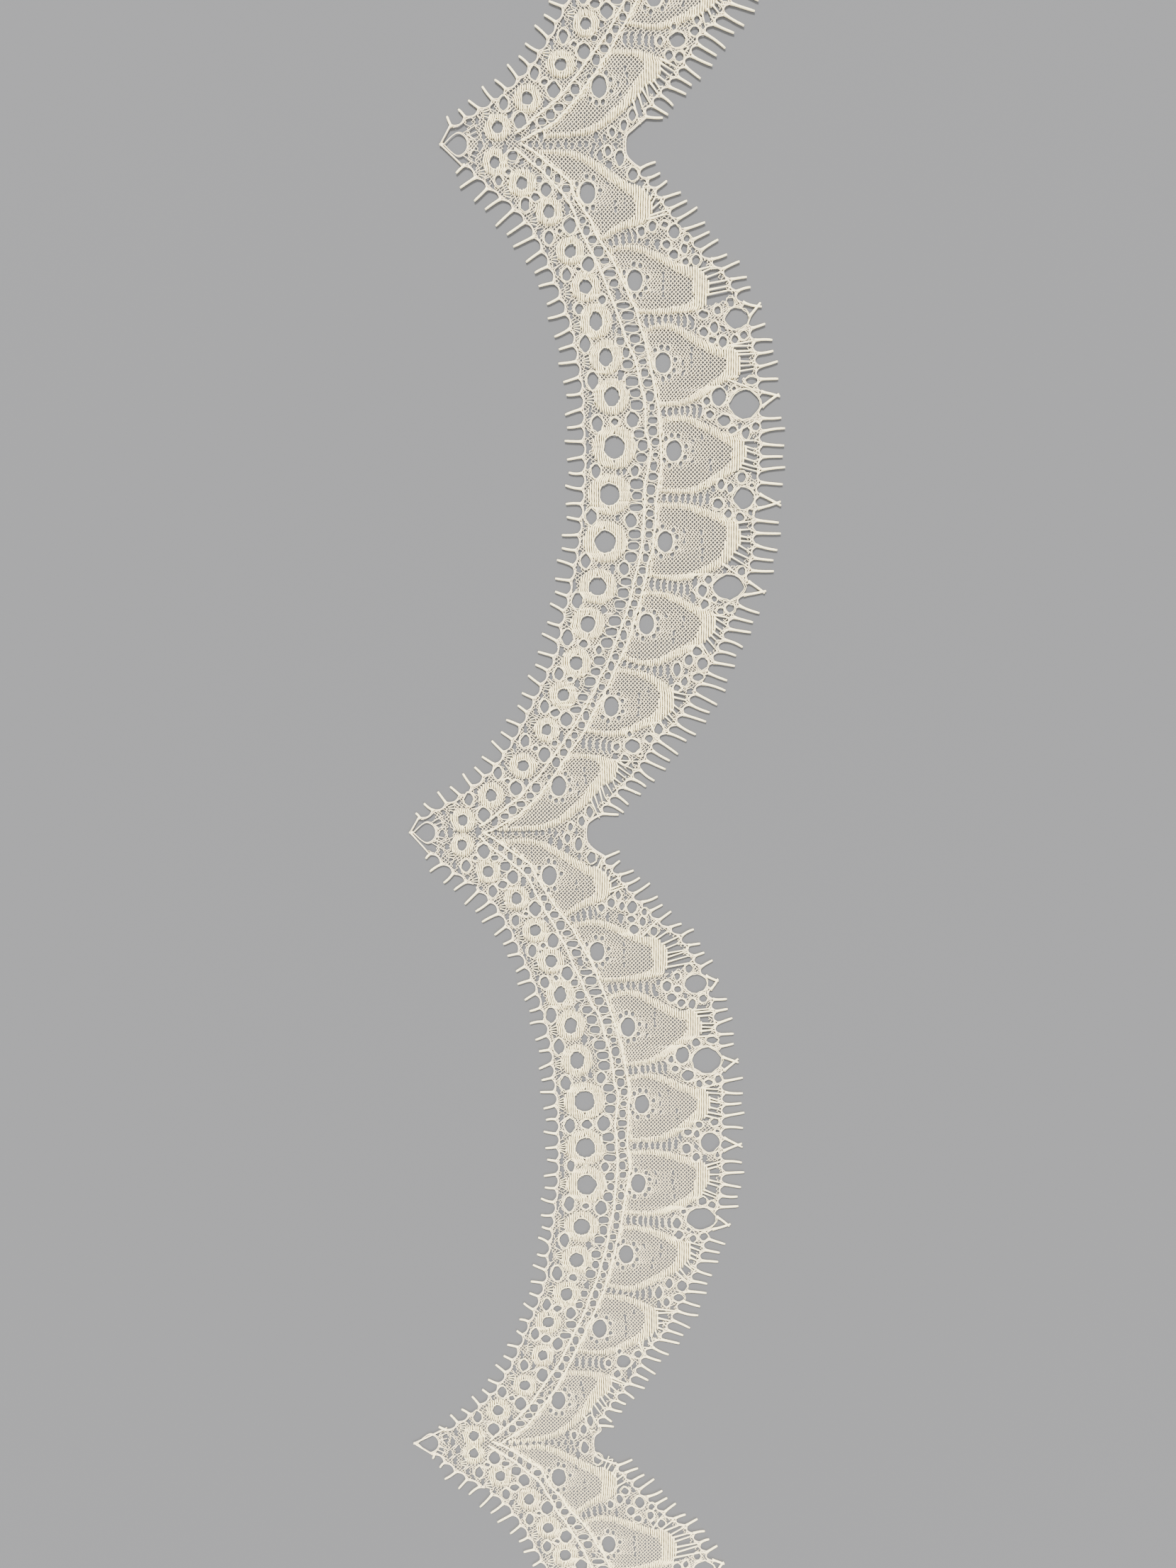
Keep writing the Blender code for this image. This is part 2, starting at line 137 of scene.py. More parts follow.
# Smaller gaps beside these, which the solid sheet leaves closed.
SIDE_GAPS = (
    (0.154, 14.7, 1.1, 1.6), (0.180, 15.2, 1.2, 1.1), (0.861, 13.4, 1.0, 1.8), (0.875, 13.3, 0.9, 1.6),
    (0.888, 12.5, 0.8, 1.3), (0.097, 12.9, 0.9, 1.4), (0.142, 15.3, 1.1, 1.0), (0.171, 15.4, 0.9, 1.2),
    (0.188, 11.6, 1.0, 1.3), (0.214, 17.4, 1.0, 1.1), (0.250, 18.6, 0.9, 1.3), (0.292, 18.4, 0.9, 1.2),
    (0.288, 20.6, 1.1, 1.3), (0.322, 21.4, 1.2, 1.2), (0.351, 21.6, 1.0, 1.3), (0.372, 18.6, 1.2, 1.3),
    (0.405, 19.2, 0.9, 1.2), (0.412, 21.3, 1.1, 1.2), (0.381, 14.3, 1.0, 1.2), (0.470, 20.6, 1.2, 1.0),
    (0.500, 17.2, 1.1, 1.3), (0.473, 17.3, 0.9, 1.3), (0.497, 20.6, 1.0, 1.2), (0.557, 20.3, 1.2, 1.3),
    (0.563, 17.2, 1.0, 1.2), (0.590, 17.0, 1.0, 1.3), (0.596, 19.7, 1.2, 1.2), (0.645, 18.4, 1.1, 1.2),
    (0.660, 15.8, 1.2, 1.6), (0.674, 18.0, 1.6, 1.2), (0.683, 16.3, 1.0, 1.4), (0.738, 16.5, 1.1, 1.2),
    (0.762, 12.0, 1.0, 1.3), (0.776, 14.9, 1.1, 1.1), (0.782, 11.2, 0.9, 1.2), (0.790, 13.3, 1.1, 1.4),
    (0.833, 13.4, 1.0, 1.5), (0.862, 13.7, 1.0, 1.3),
)
# How much further along the petals and gaps lie in the lower repeats.
LOWER_SHIFT = (
    (0.00, 0.003), (0.24, 0.006), (0.35, 0.013), (0.50, 0.013), (0.62, 0.009), (0.75, 0.008), (0.95, 0.003),
)

# The cord beside the rings and the cord at the petals' bases: along, out.
RING_CORD = (
    (0.000, 1.2), (0.033, 2.3), (0.058, 2.8), (0.073, 3.3), (0.092, 3.7), (0.110, 4.1), (0.123, 4.1),
    (0.163, 3.6), (0.280, 3.9), (0.320, 4.7), (0.372, 5.0), (0.410, 4.8), (0.428, 5.3), (0.454, 4.8),
    (0.473, 4.3), (0.497, 4.4), (0.521, 4.6), (0.600, 4.5), (0.700, 4.2), (0.800, 3.9), (0.900, 3.5),
    (0.957, 2.3), (1.000, 1.2),
)
BASE_CORD = (
    (0.000, 1.8), (0.033, 3.3), (0.046, 3.9), (0.076, 4.8), (0.102, 5.8), (0.126, 5.3), (0.171, 5.4),
    (0.200, 6.0), (0.270, 6.6), (0.320, 6.8), (0.397, 6.9), (0.429, 6.9), (0.454, 6.6), (0.496, 6.1),
    (0.520, 6.4), (0.600, 6.1), (0.700, 5.8), (0.800, 5.5), (0.880, 5.6), (0.920, 5.2), (0.957, 3.9),
    (1.000, 1.8),
)

# The scalloped edge and the heading: along, where the clipped threads leave
# the net, and where they end.
SCALLOP_EDGE = (
    (0.112, 15.1, 16.6), (0.145, 16.3, 18.0), (0.170, 17.0, 19.3), (0.200, 17.6, 20.6),
    (0.235, 19.3, 21.6), (0.260, 21.6, 23.6), (0.305, 23.0, 25.0), (0.340, 23.2, 25.4),
    (0.390, 22.8, 25.3), (0.440, 22.5, 25.4), (0.503, 21.8, 25.1), (0.530, 22.3, 25.2),
    (0.570, 21.9, 24.8), (0.600, 21.0, 23.9), (0.640, 20.2, 22.8), (0.690, 19.0, 22.3),
    (0.730, 18.2, 21.2), (0.755, 16.7, 19.9), (0.800, 16.4, 18.7), (0.830, 15.6, 17.6),
    (0.872, 15.1, 16.6),
)
HEADING_EDGE = (
    (-0.030, -5.2, -5.9), (0.020, -5.3, -7.5), (0.050, -4.8, -7.3), (0.080, -3.8, -6.9),
    (0.115, -3.1, -6.2), (0.160, -3.2, -5.6), (0.200, -3.6, -5.4), (0.260, -3.8, -6.0),
    (0.340, -4.5, -6.7), (0.400, -5.2, -7.3), (0.500, -5.5, -7.6), (0.600, -5.4, -7.5),
    (0.670, -5.0, -6.8), (0.710, -4.1, -6.3), (0.790, -3.9, -5.6), (0.850, -3.2, -5.2),
    (0.900, -3.0, -5.0), (0.950, -3.6, -5.5), (1.000, -4.8, -6.2), (1.030, -5.2, -6.0),
)
# Clipped threads: how far apart they stand along each edge, how thick those of the
# solid are at the root and at the end, how far they stray sideways and in length,
# and how much shorter they are in the lower repeats. The phases set how they stray.
SCALLOP_PITCH = 1.9
HEADING_PITCH = 2.3
SCALLOP_PHASE = 0.15
HEADING_PHASE = 0.55
THREAD_ROOT = 0.55
THREAD_TIP = 0.38
STRAY_SIDEWAYS = 0.45
STRAY_LENGTH = 0.35
LOWER_TRIM = 0.5
# The notch between two scallops is rounded, with this radius.
NOTCH_RADIUS = 3.3
# The stretch along where the rings are large.
LARGE_RINGS = (0.28, 0.72)

# The rows at which the threads are worked out lie this far apart.
ROW = 0.31
# The least wall between two gaps, and between a gap and a cut end.
LEAST_WALL = 0.24
END_WALL = 0.8
# Two gaps further apart than this can't touch.
NEIGHBOURS = 6.0
MOST_GAPS = 12000
# A gap that would have to shrink to less than this share is left out.
LEAST_SHARE = 0.55

# How high the middle of each kind of thread lies.
NET_LEVEL = 0.24
CLIPPED_LEVEL = 0.26
STRAND_LEVEL = 0.28
EDGE_LEVEL = 0.3
LOOP_LEVEL = 0.32
CORD_LEVEL = 0.34
# A thread is a little flatter than it is wide.
FLATNESS = 0.8
# Where each piece's small differences start from.
SEEDS = {
    "fill": 5, "petal_nets": 11, "ground": 12, "borders": 21, "rings": 22, "loops": 31, "cords": 41,
    "clipped": 51, "bars": 61,
}


def place(repeat, along, out):
    """Return x and y in mm for these repeat measures."""
    x, y, radius, first, last = REPEATS[repeat]
    angle = np.radians(first + np.asarray(along, float) * (last - first))
    reach = radius + np.asarray(out, float)
    return np.stack([x + reach * np.cos(angle), y - reach * np.sin(angle)], axis=-1)


def level(table, along, column=1):
    """Read a table's column at this distance along, straight between rows."""
    return np.interp(along, [row[0] for row in table], [row[column] for row in table])


def is_lower(repeat):
    return repeat >= 2


def shifted(repeat, along):
    return along + (float(level(LOWER_SHIFT, along)) if is_lower(repeat) else 0.0)


def along_per_mm(repeat, out=0.0):
    """Return how much of the repeat one millimetre along is, at this distance out."""
    _, _, radius, first, last = REPEATS[repeat]
    return 1.0 / (math.radians(last - first) * (radius + out))


def stray(index, phase):
    """Return an even spread of small differences, from -1 to 1."""
    golden = 0.618034
    return 2.0 * ((index * golden + phase) % 1.0) - 1.0


def repeat_of(y):
    heights = np.array([corner[0] for corner in CORNERS])
    return np.sum(np.asarray(y, float)[..., None] < heights, axis=-1)


def measures(x, y):
    """Return the repeat of each point, how far along it lies and how far out."""
    repeat = repeat_of(y)
    table = np.array(REPEATS)[repeat]
    across, down = x - table[..., 0], table[..., 1] - y
    degrees = np.degrees(np.arctan2(down, across))
    along = (degrees - table[..., 3]) / (table[..., 4] - table[..., 3])
    return repeat, along, np.hypot(across, down) - table[..., 2]


# How much wider and higher a ring is than its hole: a share of the hole's width and
# height together, and this many mm more. In the lower repeats it is a little less.
RING_WIDER = (0.38, 0.95)
RING_HIGHER = (0.30, 0.9)
LOWER_RINGS = 0.92


def ring_places(repeat):
    """Return each ring: along, out, hole width and height, outer width and height."""
    first = 2 if is_lower(repeat) else 0
    rings = []
    for row in RINGS:
        width, height = row[4:6]
        ring = LOWER_RINGS if is_lower(repeat) else 1.0
        wide = width + ring * (RING_WIDER[0] * (width + height) + RING_WIDER[1])
        high = height + ring * (RING_HIGHER[0] * (width + height) + RING_HIGHER[1])
        rings.append((row[first], row[first + 1], width, height, wide, high))
    return rings


def clipped_threads(repeat, table, pitch, column_phase, corner_distance):
    """Return the corners of each clipped thread along one edge, as in the part's source."""
    radius = REPEATS[repeat][2]
    span = math.radians(REPEATS[repeat][4] - REPEATS[repeat][3])
    first, last = table[0][0], table[-1][0]
    count = round((last - first) * span * (radius + float(level(table, 0.5))) / pitch)
    threads = []
    for index in range(count):
        along = first + (last - first) * (index + 0.5) / count
        root_out = float(level(table, along, 1))
        tip_out = float(level(table, along, 2))
        side = 1.0 if tip_out > root_out else -1.0
        trim = LOWER_TRIM if is_lower(repeat) else 0.0
        tip_out += side * (STRAY_LENGTH * stray(index, column_phase) - trim)
        per_mm = 1.0 / (span * (radius + root_out))
        lean = STRAY_SIDEWAYS * stray(index, column_phase + 0.3) * per_mm
        root = place(repeat, along, root_out)
        tip = place(repeat, along + lean, tip_out)
        half = 0.5 * THREAD_ROOT
        clear = all(abs(root[1] - corner[0]) > corner_distance + half for corner in CORNERS)
        low, high = min(root[1], tip[1]) - half, max(root[1], tip[1]) + half
        if clear and BOTTOM + THREAD_TIP < low and high < TOP - THREAD_TIP:
            threads.append((along, root, tip))
    return threads


def scallop_threads(repeat):
    return clipped_threads(repeat, SCALLOP_EDGE, SCALLOP_PITCH, SCALLOP_PHASE, NOTCH_HALF_WIDTH)


def heading_threads(repeat):
    return clipped_threads(repeat, HEADING_EDGE, HEADING_PITCH, HEADING_PHASE, TIP_HALF_WIDTH)


def runs(kept):
    """Return the first place of each run of true values, and the place after its last."""
    change = np.flatnonzero(np.diff(np.concatenate([[False], kept, [False]]).astype(int)))
    return zip(change[::2], change[1::2])


def smooth_through(points, steps):
    """Return a smooth open path through these points."""
    points = np.asarray(points, float)
    padded = np.vstack([2 * points[0] - points[1], points, 2 * points[-1] - points[-2]])
    path = []
    for index in range(len(points) - 1):
        before, start, end, after = padded[index:index + 4]
        for step in range(steps):
            t = step / steps
            path.append(0.5 * (
                2 * start + (end - before) * t
                + (2 * before - 5 * start + 4 * end - after) * t ** 2
                + (3 * start - before - 3 * end + after) * t ** 3))
    path.append(points[-1])
    return np.array(path)


# Each stretch of a petal's outline is drawn in this many steps.
PETAL_STEPS = 6
# The shoulders of a petal's crown: along and out from its tip.
SHOULDERS = ((-0.017, -0.9), (0.0, 0.0), (0.016, -0.9))
# The dense crown of a petal is this deep, and its inner edge runs along Y.
CROWN_DEPTH = 2.3


@functools.cache
def petals():
    """Return each petal: its repeat, its place in the row, outline, border widths and oval."""
    made = []
    for repeat in range(len(REPEATS)):
        for number, row in enumerate(PETALS):
            tip_along, tip_out = row[4]
            shoulders = [(tip_along + along, tip_out + out) for along, out in SHOULDERS]
            points = [*row[1:4], *shoulders, *row[5:]]
            corners = [place(repeat, shifted(repeat, along), out) for along, out in points]
            path = smooth_through(corners, PETAL_STEPS)
            border = np.interp(np.arange(len(path)) / PETAL_STEPS, range(len(PETAL_BORDER)), PETAL_BORDER)
            ends = [shifted(repeat, row[7][0]), shifted(repeat, row[1][0])]
            base_along = np.linspace(ends[0], ends[1], 8)[1:-1]
            base = place(repeat, base_along, level(BASE_CORD, base_along) + 0.15)
            outline = np.vstack([path, base])
            border = np.concatenate([border, np.full(len(base), BASE_BORDER)])
            oval = place(repeat, shifted(repeat, row[0][0]), row[0][1])
            crown = place(repeat, shifted(repeat, tip_along), tip_out)[0] - CROWN_DEPTH
            made.append((repeat, number, outline, border, oval, crown))
    return made


def depth_inside(points, outline, values):
    """Return how deep each point lies inside a closed outline, and the value at the nearest place on it."""
    starts, ends = outline, np.roll(outline, -1, axis=0)
    edge = ends - starts
    length = np.maximum((edge ** 2).sum(axis=1), 1e-9)
    offset = points[:, None, :] - starts[None]
    share = np.clip((offset * edge).sum(axis=-1) / length, 0.0, 1.0)
    away = np.linalg.norm(offset - share[..., None] * edge, axis=-1)
    nearest = away.argmin(axis=1)
    pick = np.arange(len(points)), nearest
    after = np.roll(values, -1)
    value = values[nearest] + share[pick] * (after[nearest] - values[nearest])
    low = starts[None, :, 1] <= points[:, None, 1]
    high = ends[None, :, 1] <= points[:, None, 1]
    rise = np.where(np.abs(edge[:, 1]) < 1e-9, 1e-9, edge[:, 1])
    crossing = starts[:, 0] + (points[:, None, 1] - starts[:, 1]) * edge[:, 0] / rise
    inside = ((low != high) & (crossing > points[:, None, 0])).sum(axis=1) % 2 == 1
    return np.where(inside, away[pick], -away[pick]), value


# The gaps of the openwork

NAMES = ("ring", "ladder", "leaf", "petal", "small", "gap", "window", "eyelet", "tip")
KINDS = {name: number for number, name in enumerate(NAMES)}
# The wall kept round each group of gaps, and the least share they may shrink to.
WALLS = {
    "wedge": (0.2, 0.6), "eyelet": (0.16, 0.5), "ray": (0.25, 0.9), "cords": (0.26, 0.5),
    "window": (0.12, 0.6), "heading": (0.25, 0.6), "slit": (0.22, 0.6), "outer": (0.3, 0.75),
    "corner": (0.25, 0.6),
}


def reaches(width, height, over, up):
    """Return how far ellipses reach in these directions."""
    return 1.0 / np.sqrt((2.0 * over / width) ** 2 + (2.0 * up / height) ** 2 + 1e-12)


def beyond_crowns(repeat, along, out):
    """Return which places of a repeat lie between a petal's crown and the scalloped edge."""
    zone = np.zeros(np.shape(along), bool)
    for row in PETALS:
        first, last = shifted(repeat, row[3][0]), shifted(repeat, row[5][0])
        zone |= (along > first) & (along < last) & (out > min(row[3][1], row[5][1]) - 0.5)
    return zone


class Gaps:
    """Holds the accepted gaps and keeps a wall between each two of them."""

    def __init__(self):
        self.rows = []
        self.taken = np.zeros((MOST_GAPS, 4))
        self.count = 0

    def take(self, centre, width, height):
        self.taken[self.count] = centre[0], centre[1], width, height
        self.count += 1

    def add(self, centre, width, height, kind, wall=LEAST_WALL, least=LEAST_SHARE):
        """Accept a gap, made smaller where it would come too near another."""
        if not BOTTOM + END_WALL < centre[1] - 0.5 * height or not centre[1] + 0.5 * height < TOP - END_WALL:
            return
        taken = self.taken[:self.count]
        near = taken[np.abs(taken[:, :2] - centre).max(axis=1) < NEIGHBOURS]
        scale = 1.0
        if len(near):
            over, up = centre[0] - near[:, 0], centre[1] - near[:, 1]
            distance = np.hypot(over, up) + 1e-6
            over, up = over / distance, up / distance
            room = distance - reaches(near[:, 2], near[:, 3], over, up) - wall
            scale = min(1.0, float((room / reaches(width, height, over, up)).min()))
        if scale >= least:
            self.rows.append((centre[0], centre[1], width * scale, height * scale, KINDS[kind]))
            self.take(centre, width * scale, height * scale)


# Small gaps in the wedge between two petals: how far out they go, how wide the wedge
# may be there, and how far apart they stand.
WEDGE_END = 17.0
WEDGE_WIDTH = 4.2
WEDGE_STEP = 0.95
# Where the wedge is wider than the first there is a gap in its middle, and where it
# is wider than the second there is one on each side too.
WEDGE_ROOMS = (0.7, 2.4)
# The middle gap's width, least height and greatest height, and a side gap's size.
WEDGE_MIDDLE = (0.62, 0.5, 1.9)
WEDGE_SIDE = (0.6, 1.0)


def wedge_gaps(gaps, repeat):
    """Open the small gaps in the wedges between two petals, from their bases outwards."""
    for number in range(len(PETALS) - 1):
        upper, lower = PETALS[number][1:], PETALS[number + 1][1:]
        upper_along, upper_out = zip(upper[6], upper[5], upper[4])
        lower_along, lower_out = zip(*lower[:3])
        out = max(upper_out[0], lower_out[0]) + 0.8
        index = 0
        while out < WEDGE_END:
            above = np.interp(out, upper_out, upper_along)
            below = np.interp(out, lower_out, lower_along)
            room = (below - above) / along_per_mm(repeat, out)
            if room > WEDGE_WIDTH:
                break
            middle = 0.5 * (above + below)
            height = max(WEDGE_MIDDLE[1], min(room - 0.5, WEDGE_MIDDLE[2]))
            if room > WEDGE_ROOMS[0]:
                centre = place(repeat, shifted(repeat, middle), out)
                gaps.add(centre, WEDGE_MIDDLE[0], height, "small", *WALLS["wedge"])
            if room > WEDGE_ROOMS[1]:
                for side in (-1.0, 1.0):
                    shift = side * 0.25 * room * along_per_mm(repeat, out)
                    centre = place(repeat, shifted(repeat, middle + shift), out + 0.3 * side)
                    gaps.add(centre, *WEDGE_SIDE, "small", *WALLS["wedge"])
            out += WEDGE_STEP + 0.1 * stray(index, 0.2)
            index += 1


# How many small holes stand round a petal's oval, and how far outside it.
EYELETS = 9
EYELETS_OUT = (0.68, 0.72)
# Small gaps in rays from the oval towards a petal's tip: how far out the first row
# lies and how much further each next one, how far apart the rays lie in the first
# row and how much more in each next one, and a gap's width and height.
RAY_ROWS = (2.9, 1.35)
RAY_SPREAD = (0.75, 0.28)
RAY_GAP = (0.42, 0.62)


def petal_gaps(gaps, petal):
    """Open the oval hole of a petal, the small holes round it and a few beyond."""
    _, number, outline, border, oval, crown = petal
    gaps.add(oval, *OVAL, "petal")
    reach = 0.5 * np.array(OVAL) + EYELETS_OUT
    for index in range(EYELETS):
        turn = 2.0 * math.pi * (index + 0.3 * stray(index, 0.1 * number)) / EYELETS + 0.35
        centre = oval + reach * [math.cos(turn), math.sin(turn)]
        gaps.add(centre, 0.7, 0.8 + 0.15 * abs(math.sin(turn)), "eyelet", *WALLS["eyelet"])
    tip = outline[4 * PETAL_STEPS]
    reach = float(np.linalg.norm(tip - oval))
    towards = (tip - oval) / reach
    aside = np.array([-towards[1], towards[0]])
    for ray in range(-2, 3):
        for step in range(3):
            if stray(ray * 5 + step + 11 * number, 0.4) < 0.1:
                continue
            far, wide = RAY_ROWS[0] + RAY_ROWS[1] * step, RAY_SPREAD[0] + RAY_SPREAD[1] * step
            centre = oval + towards * far + aside * ray * wide
            depth, width = depth_inside(centre[None], outline, border)
            if depth[0] > width[0] + 0.4 and centre[0] < crown - 0.4:
                gaps.add(centre, *RAY_GAP, "small", *WALLS["ray"])


# Where a ring's ladder gaps stand, along from its middle.
LARGE_STEPS = (-0.0145, 0.0, 0.0145)
SMALL_STEPS = (-0.009, 0.009)
# How far apart the gaps between the two cords stand, in mm, and from where to where.
LADDER_PITCH = 1.72
LADDER_FIRST = 0.055
LADDER_RUN = 0.885


def leaf_gaps(gaps, repeat, above, below):
    """Open the gaps between two rings: by the cord, by the heading and at the middle."""
    along, out = 0.5 * (above[0] + below[0]), 0.5 * (above[1] + below[1])
    cord = float(level(RING_CORD, along))
    if LARGE_RINGS[0] < along < LARGE_RINGS[1]:
        by_cord = (max(out + 2.2, cord - 2.0), 2.3, 3.0, 0.4)
        leaves = (by_cord, (out - 2.5, 1.8, 2.6, 0.4), (out + 0.2, 2.0, 1.8, 0.5))
    else:
        by_cord = (0.5 * (out + cord) + 0.2, 2.0, 2.4, 0.45)
        leaves = (by_cord, (out - 1.9, 1.5, 2.1, 0.45), (out, 1.7, 1.5, 0.45))
    for far, width, height, least in leaves:
        gaps.add(place(repeat, along, far), width, height, "leaf", 0.2, least)


def ladder_gaps(gaps, repeat):
    """Open the gaps between the rings and the cords, and between the two cords."""
    rings = ring_places(repeat)
    for index, (along, out, _, _, wide, high) in enumerate(rings):
        large = LARGE_RINGS[0] < along < LARGE_RINGS[1]
        for step in LARGE_STEPS if large else SMALL_STEPS:
            off = step / along_per_mm(repeat) / (0.5 * high)
            edge = out + 0.5 * wide * math.sqrt(max(0.0, 1.0 - min(1.0, off * off)))
            cord = float(level(RING_CORD, along + step))
            width = min(2.0, cord - 0.3 - edge) if large else min(1.7, cord + 0.15 - edge)
            if width > 0.55:
                centre = place(repeat, along + step, cord - 0.25 - 0.5 * width)
                width *= 1.0 + 0.12 * stray(index, 0.3)
                gaps.add(centre, width, 1.45 + 0.3 * stray(index, step * 40), "ladder")
    for above, below in zip(rings, rings[1:]):
        leaf_gaps(gaps, repeat, above, below)
    count = round(LADDER_RUN / along_per_mm(repeat, 5.0) / LADDER_PITCH)
    for index in range(count):
        along = LADDER_FIRST + LADDER_RUN * (index + 0.5) / count
        near, far = float(level(RING_CORD, along)), float(level(BASE_CORD, along))
        out = 0.5 * (near + far) + 0.12 * stray(index, 0.7)
        centre = place(repeat, along + 0.0015 * stray(index, 0.1), out)
        width = (far - near - 0.5) * (1.0 + 0.14 * stray(index, 0.8))
        gaps.add(centre, width, 1.35 + 0.35 * stray(index, 0.35), "ladder", *WALLS["cords"])


# The slits between two rings at the heading: along, out, width and height.
HEADING_SLITS = ((0.002, 0.95, 0.55, 1.7), (-0.008, 1.7, 0.6, 1.2), (0.010, 1.8, 0.6, 1.3))


def heading_gaps(gaps, repeat):
    """Open the slits and windows between the rings and the heading."""
    rings = ring_places(repeat)
    for along, out, _, _, wide, high in rings:
        root = float(level(HEADING_EDGE, along))
        left = out - 0.5 * wide
        if left - root > 1.7:
            gaps.add(place(repeat, along, left - 0.5), 0.8, 0.42 * high, "window", *WALLS["window"])
        for side in (-1.0, 1.0):
            step = side * (0.36 * high + 0.2) * along_per_mm(repeat)
            middle = 0.5 * (left + root)
            centre = place(repeat, along + step, middle + 0.2)
            gaps.add(centre, 0.6, 1.2, "small", *WALLS["heading"])
    for above, below in zip(rings, rings[1:]):
        along = 0.5 * (above[0] + below[0])
        root = float(level(HEADING_EDGE, along))
        for step, out, width, height in HEADING_SLITS:
            gaps.add(place(repeat, along + step, root + out), width, height, "small", *WALLS["slit"])


# The places for small slits: how far apart they lie across and along, and how far
# each is moved at random.
FILL_STEPS = (0.5, 0.7)
FILL_STRAY = (0.12, 0.2)
# The outer ground, with wider gaps, starts this far out.
OUTER_GROUND = 14.0


def filler_gaps(gaps):
    """Open small slits wherever the ground still has room for them."""
    draw = np.random.default_rng(SEEDS["fill"])
    across, up = np.arange(LEFT, RIGHT, FILL_STEPS[0]), np.arange(BOTTOM + 1.5, TOP - 1.5, FILL_STEPS[1])
    x, y = np.meshgrid(across, up)
    x[::2] += 0.5 * FILL_STEPS[0]
    x += draw.normal(0.0, FILL_STRAY[0], x.shape)
    y += draw.normal(0.0, FILL_STRAY[1], y.shape)
    points = np.stack([x.ravel(), y.ravel()], axis=-1)
    repeat, along, out = measures(points[:, 0], points[:, 1])
    inside = (out > level(HEADING_EDGE, along) + 0.9) & (out < level(SCALLOP_EDGE, along) - 1.2)
    cords = np.minimum(np.abs(out - level(RING_CORD, along)), np.abs(out - level(BASE_CORD, along)))
    inside &= cords > 0.5
    for number in range(len(REPEATS)):
        inside &= ~((repeat == number) & beyond_crowns(number, along, out))
    for _, _, outline, border, _, _ in petals():
        near = inside & (np.abs(points - outline.mean(axis=0)).max(axis=1) < 12.0)
        if near.any():
            depth, _ = depth_inside(points[near], outline, border)
            inside[np.flatnonzero(near)[depth > -0.45]] = False
    outer = points[inside & (out > OUTER_GROUND) & (out < level(SCALLOP_EDGE, along) - 1.7)]
    for point in outer[draw.permutation(len(outer))]:
        gaps.add(point, draw.uniform(1.15, 1.7), draw.uniform(1.2, 1.9), "gap", *WALLS["outer"])
    chosen = points[inside]
    for least in (0.85, 0.5):
        for point in chosen[draw.permutation(len(chosen))]:
            gaps.add(point, draw.uniform(0.8, 1.1), draw.uniform(1.2, 1.8), "small", 0.36, least)


# The loop in each pointed tip: how far in it lies, and its width and height.
TIP_LOOP = (2.7, 2.6, 3.0)
# How many slits stand in a row between the notch and the tip, how far in from the
# notch the first lies, how far apart they lie, and their width and height.
CORNER_SLITS = 14
CORNER_ROW = (1.6, 1.05)
CORNER_SLIT = (0.6, 0.75)
# The gaps by the scalloped edge are opened by this much more than their tables say.
GAP_GROWTH = 1.12
# A gap beyond a petal's crown is left out, unless it is wider than this.
WIDE_GAP = 1.6


@functools.cache
def openwork():
    """Return every gap of the openwork as rows of centre x, centre y, width, height, kind."""
    gaps = Gaps()
    for repeat in range(len(REPEATS)):
        for along, out, width, height, _, _ in ring_places(repeat):
            gaps.add(place(repeat, along, out), width, height, "ring")
    for petal in petals():
        petal_gaps(gaps, petal)
    for height, x, _ in CORNERS:
        gaps.add((x + TIP_LOOP[0], height), *TIP_LOOP[1:], "tip")
    for repeat in range(len(REPEATS)):
        for along, out, width, height in GAPS + SIDE_GAPS:
            along = shifted(repeat, along)
            if width > WIDE_GAP or not beyond_crowns(repeat, along, out):
                size = GAP_GROWTH * width, GAP_GROWTH * height
                gaps.add(place(repeat, along, out), *size, "gap", LEAST_WALL, 0.45)
    for repeat in range(len(REPEATS)):
        for along, out, _, _, wide, high in ring_places(repeat):
            gaps.take(place(repeat, along, out), wide - 0.5, high - 0.5)
    for repeat in range(len(REPEATS)):
        ladder_gaps(gaps, repeat)
        heading_gaps(gaps, repeat)
        wedge_gaps(gaps, repeat)
    for height, _, notch_x in CORNERS:
        for index in range(CORNER_SLITS):
            x = notch_x - CORNER_ROW[0] - CORNER_ROW[1] * index
            centre = (x, height + 0.1 * stray(index, 0.5))
            gaps.add(centre, *CORNER_SLIT, "small", *WALLS["corner"])
    filler_gaps(gaps)
    return np.array(gaps.rows)


# The long threads

# How much further than its own height a gap holds the threads apart, by its kind.
STRETCH = np.array([{"ladder": 1.45, "ring": 1.3}.get(name, 1.06) for name in NAMES])
# Beside a gap the threads are pushed aside less and less: the push fades over this
# share of the gap's width and this many mm more.
FADE = (0.8, 0.25)
# Only the gaps this near are looked at: for the side that a gap's middle falls on,
# and for a span between two gaps.
SIDE_REACH = 12.0
SPAN_REACH = 9.0
# In a span between two gaps that is narrower than this, all threads lie at its
# middle. A wider one is worked out in steps of SPAN_STEP.
NARROW_SPAN = 0.06
SPAN_STEP = 0.15


def stretches(rows):
    """Return how much further than its own height each gap holds the threads apart."""
    return STRETCH[rows[:, 4].astype(int)]


def half_widths(rows, away):
    """Return how far a gap holds the threads apart at this height from its middle."""
    share = np.clip(np.abs(away) / (0.5 * rows[:, 3] * stretches(rows)), 0.0, 1.0)
    power = np.where(rows[:, 4] == KINDS["ladder"], 4, 2)
    part = np.where(rows[:, 4] == KINDS["ring"], 0.1, 0.5)
    return part * rows[:, 2] * np.sqrt(np.maximum(0.0, 1.0 - share ** power))


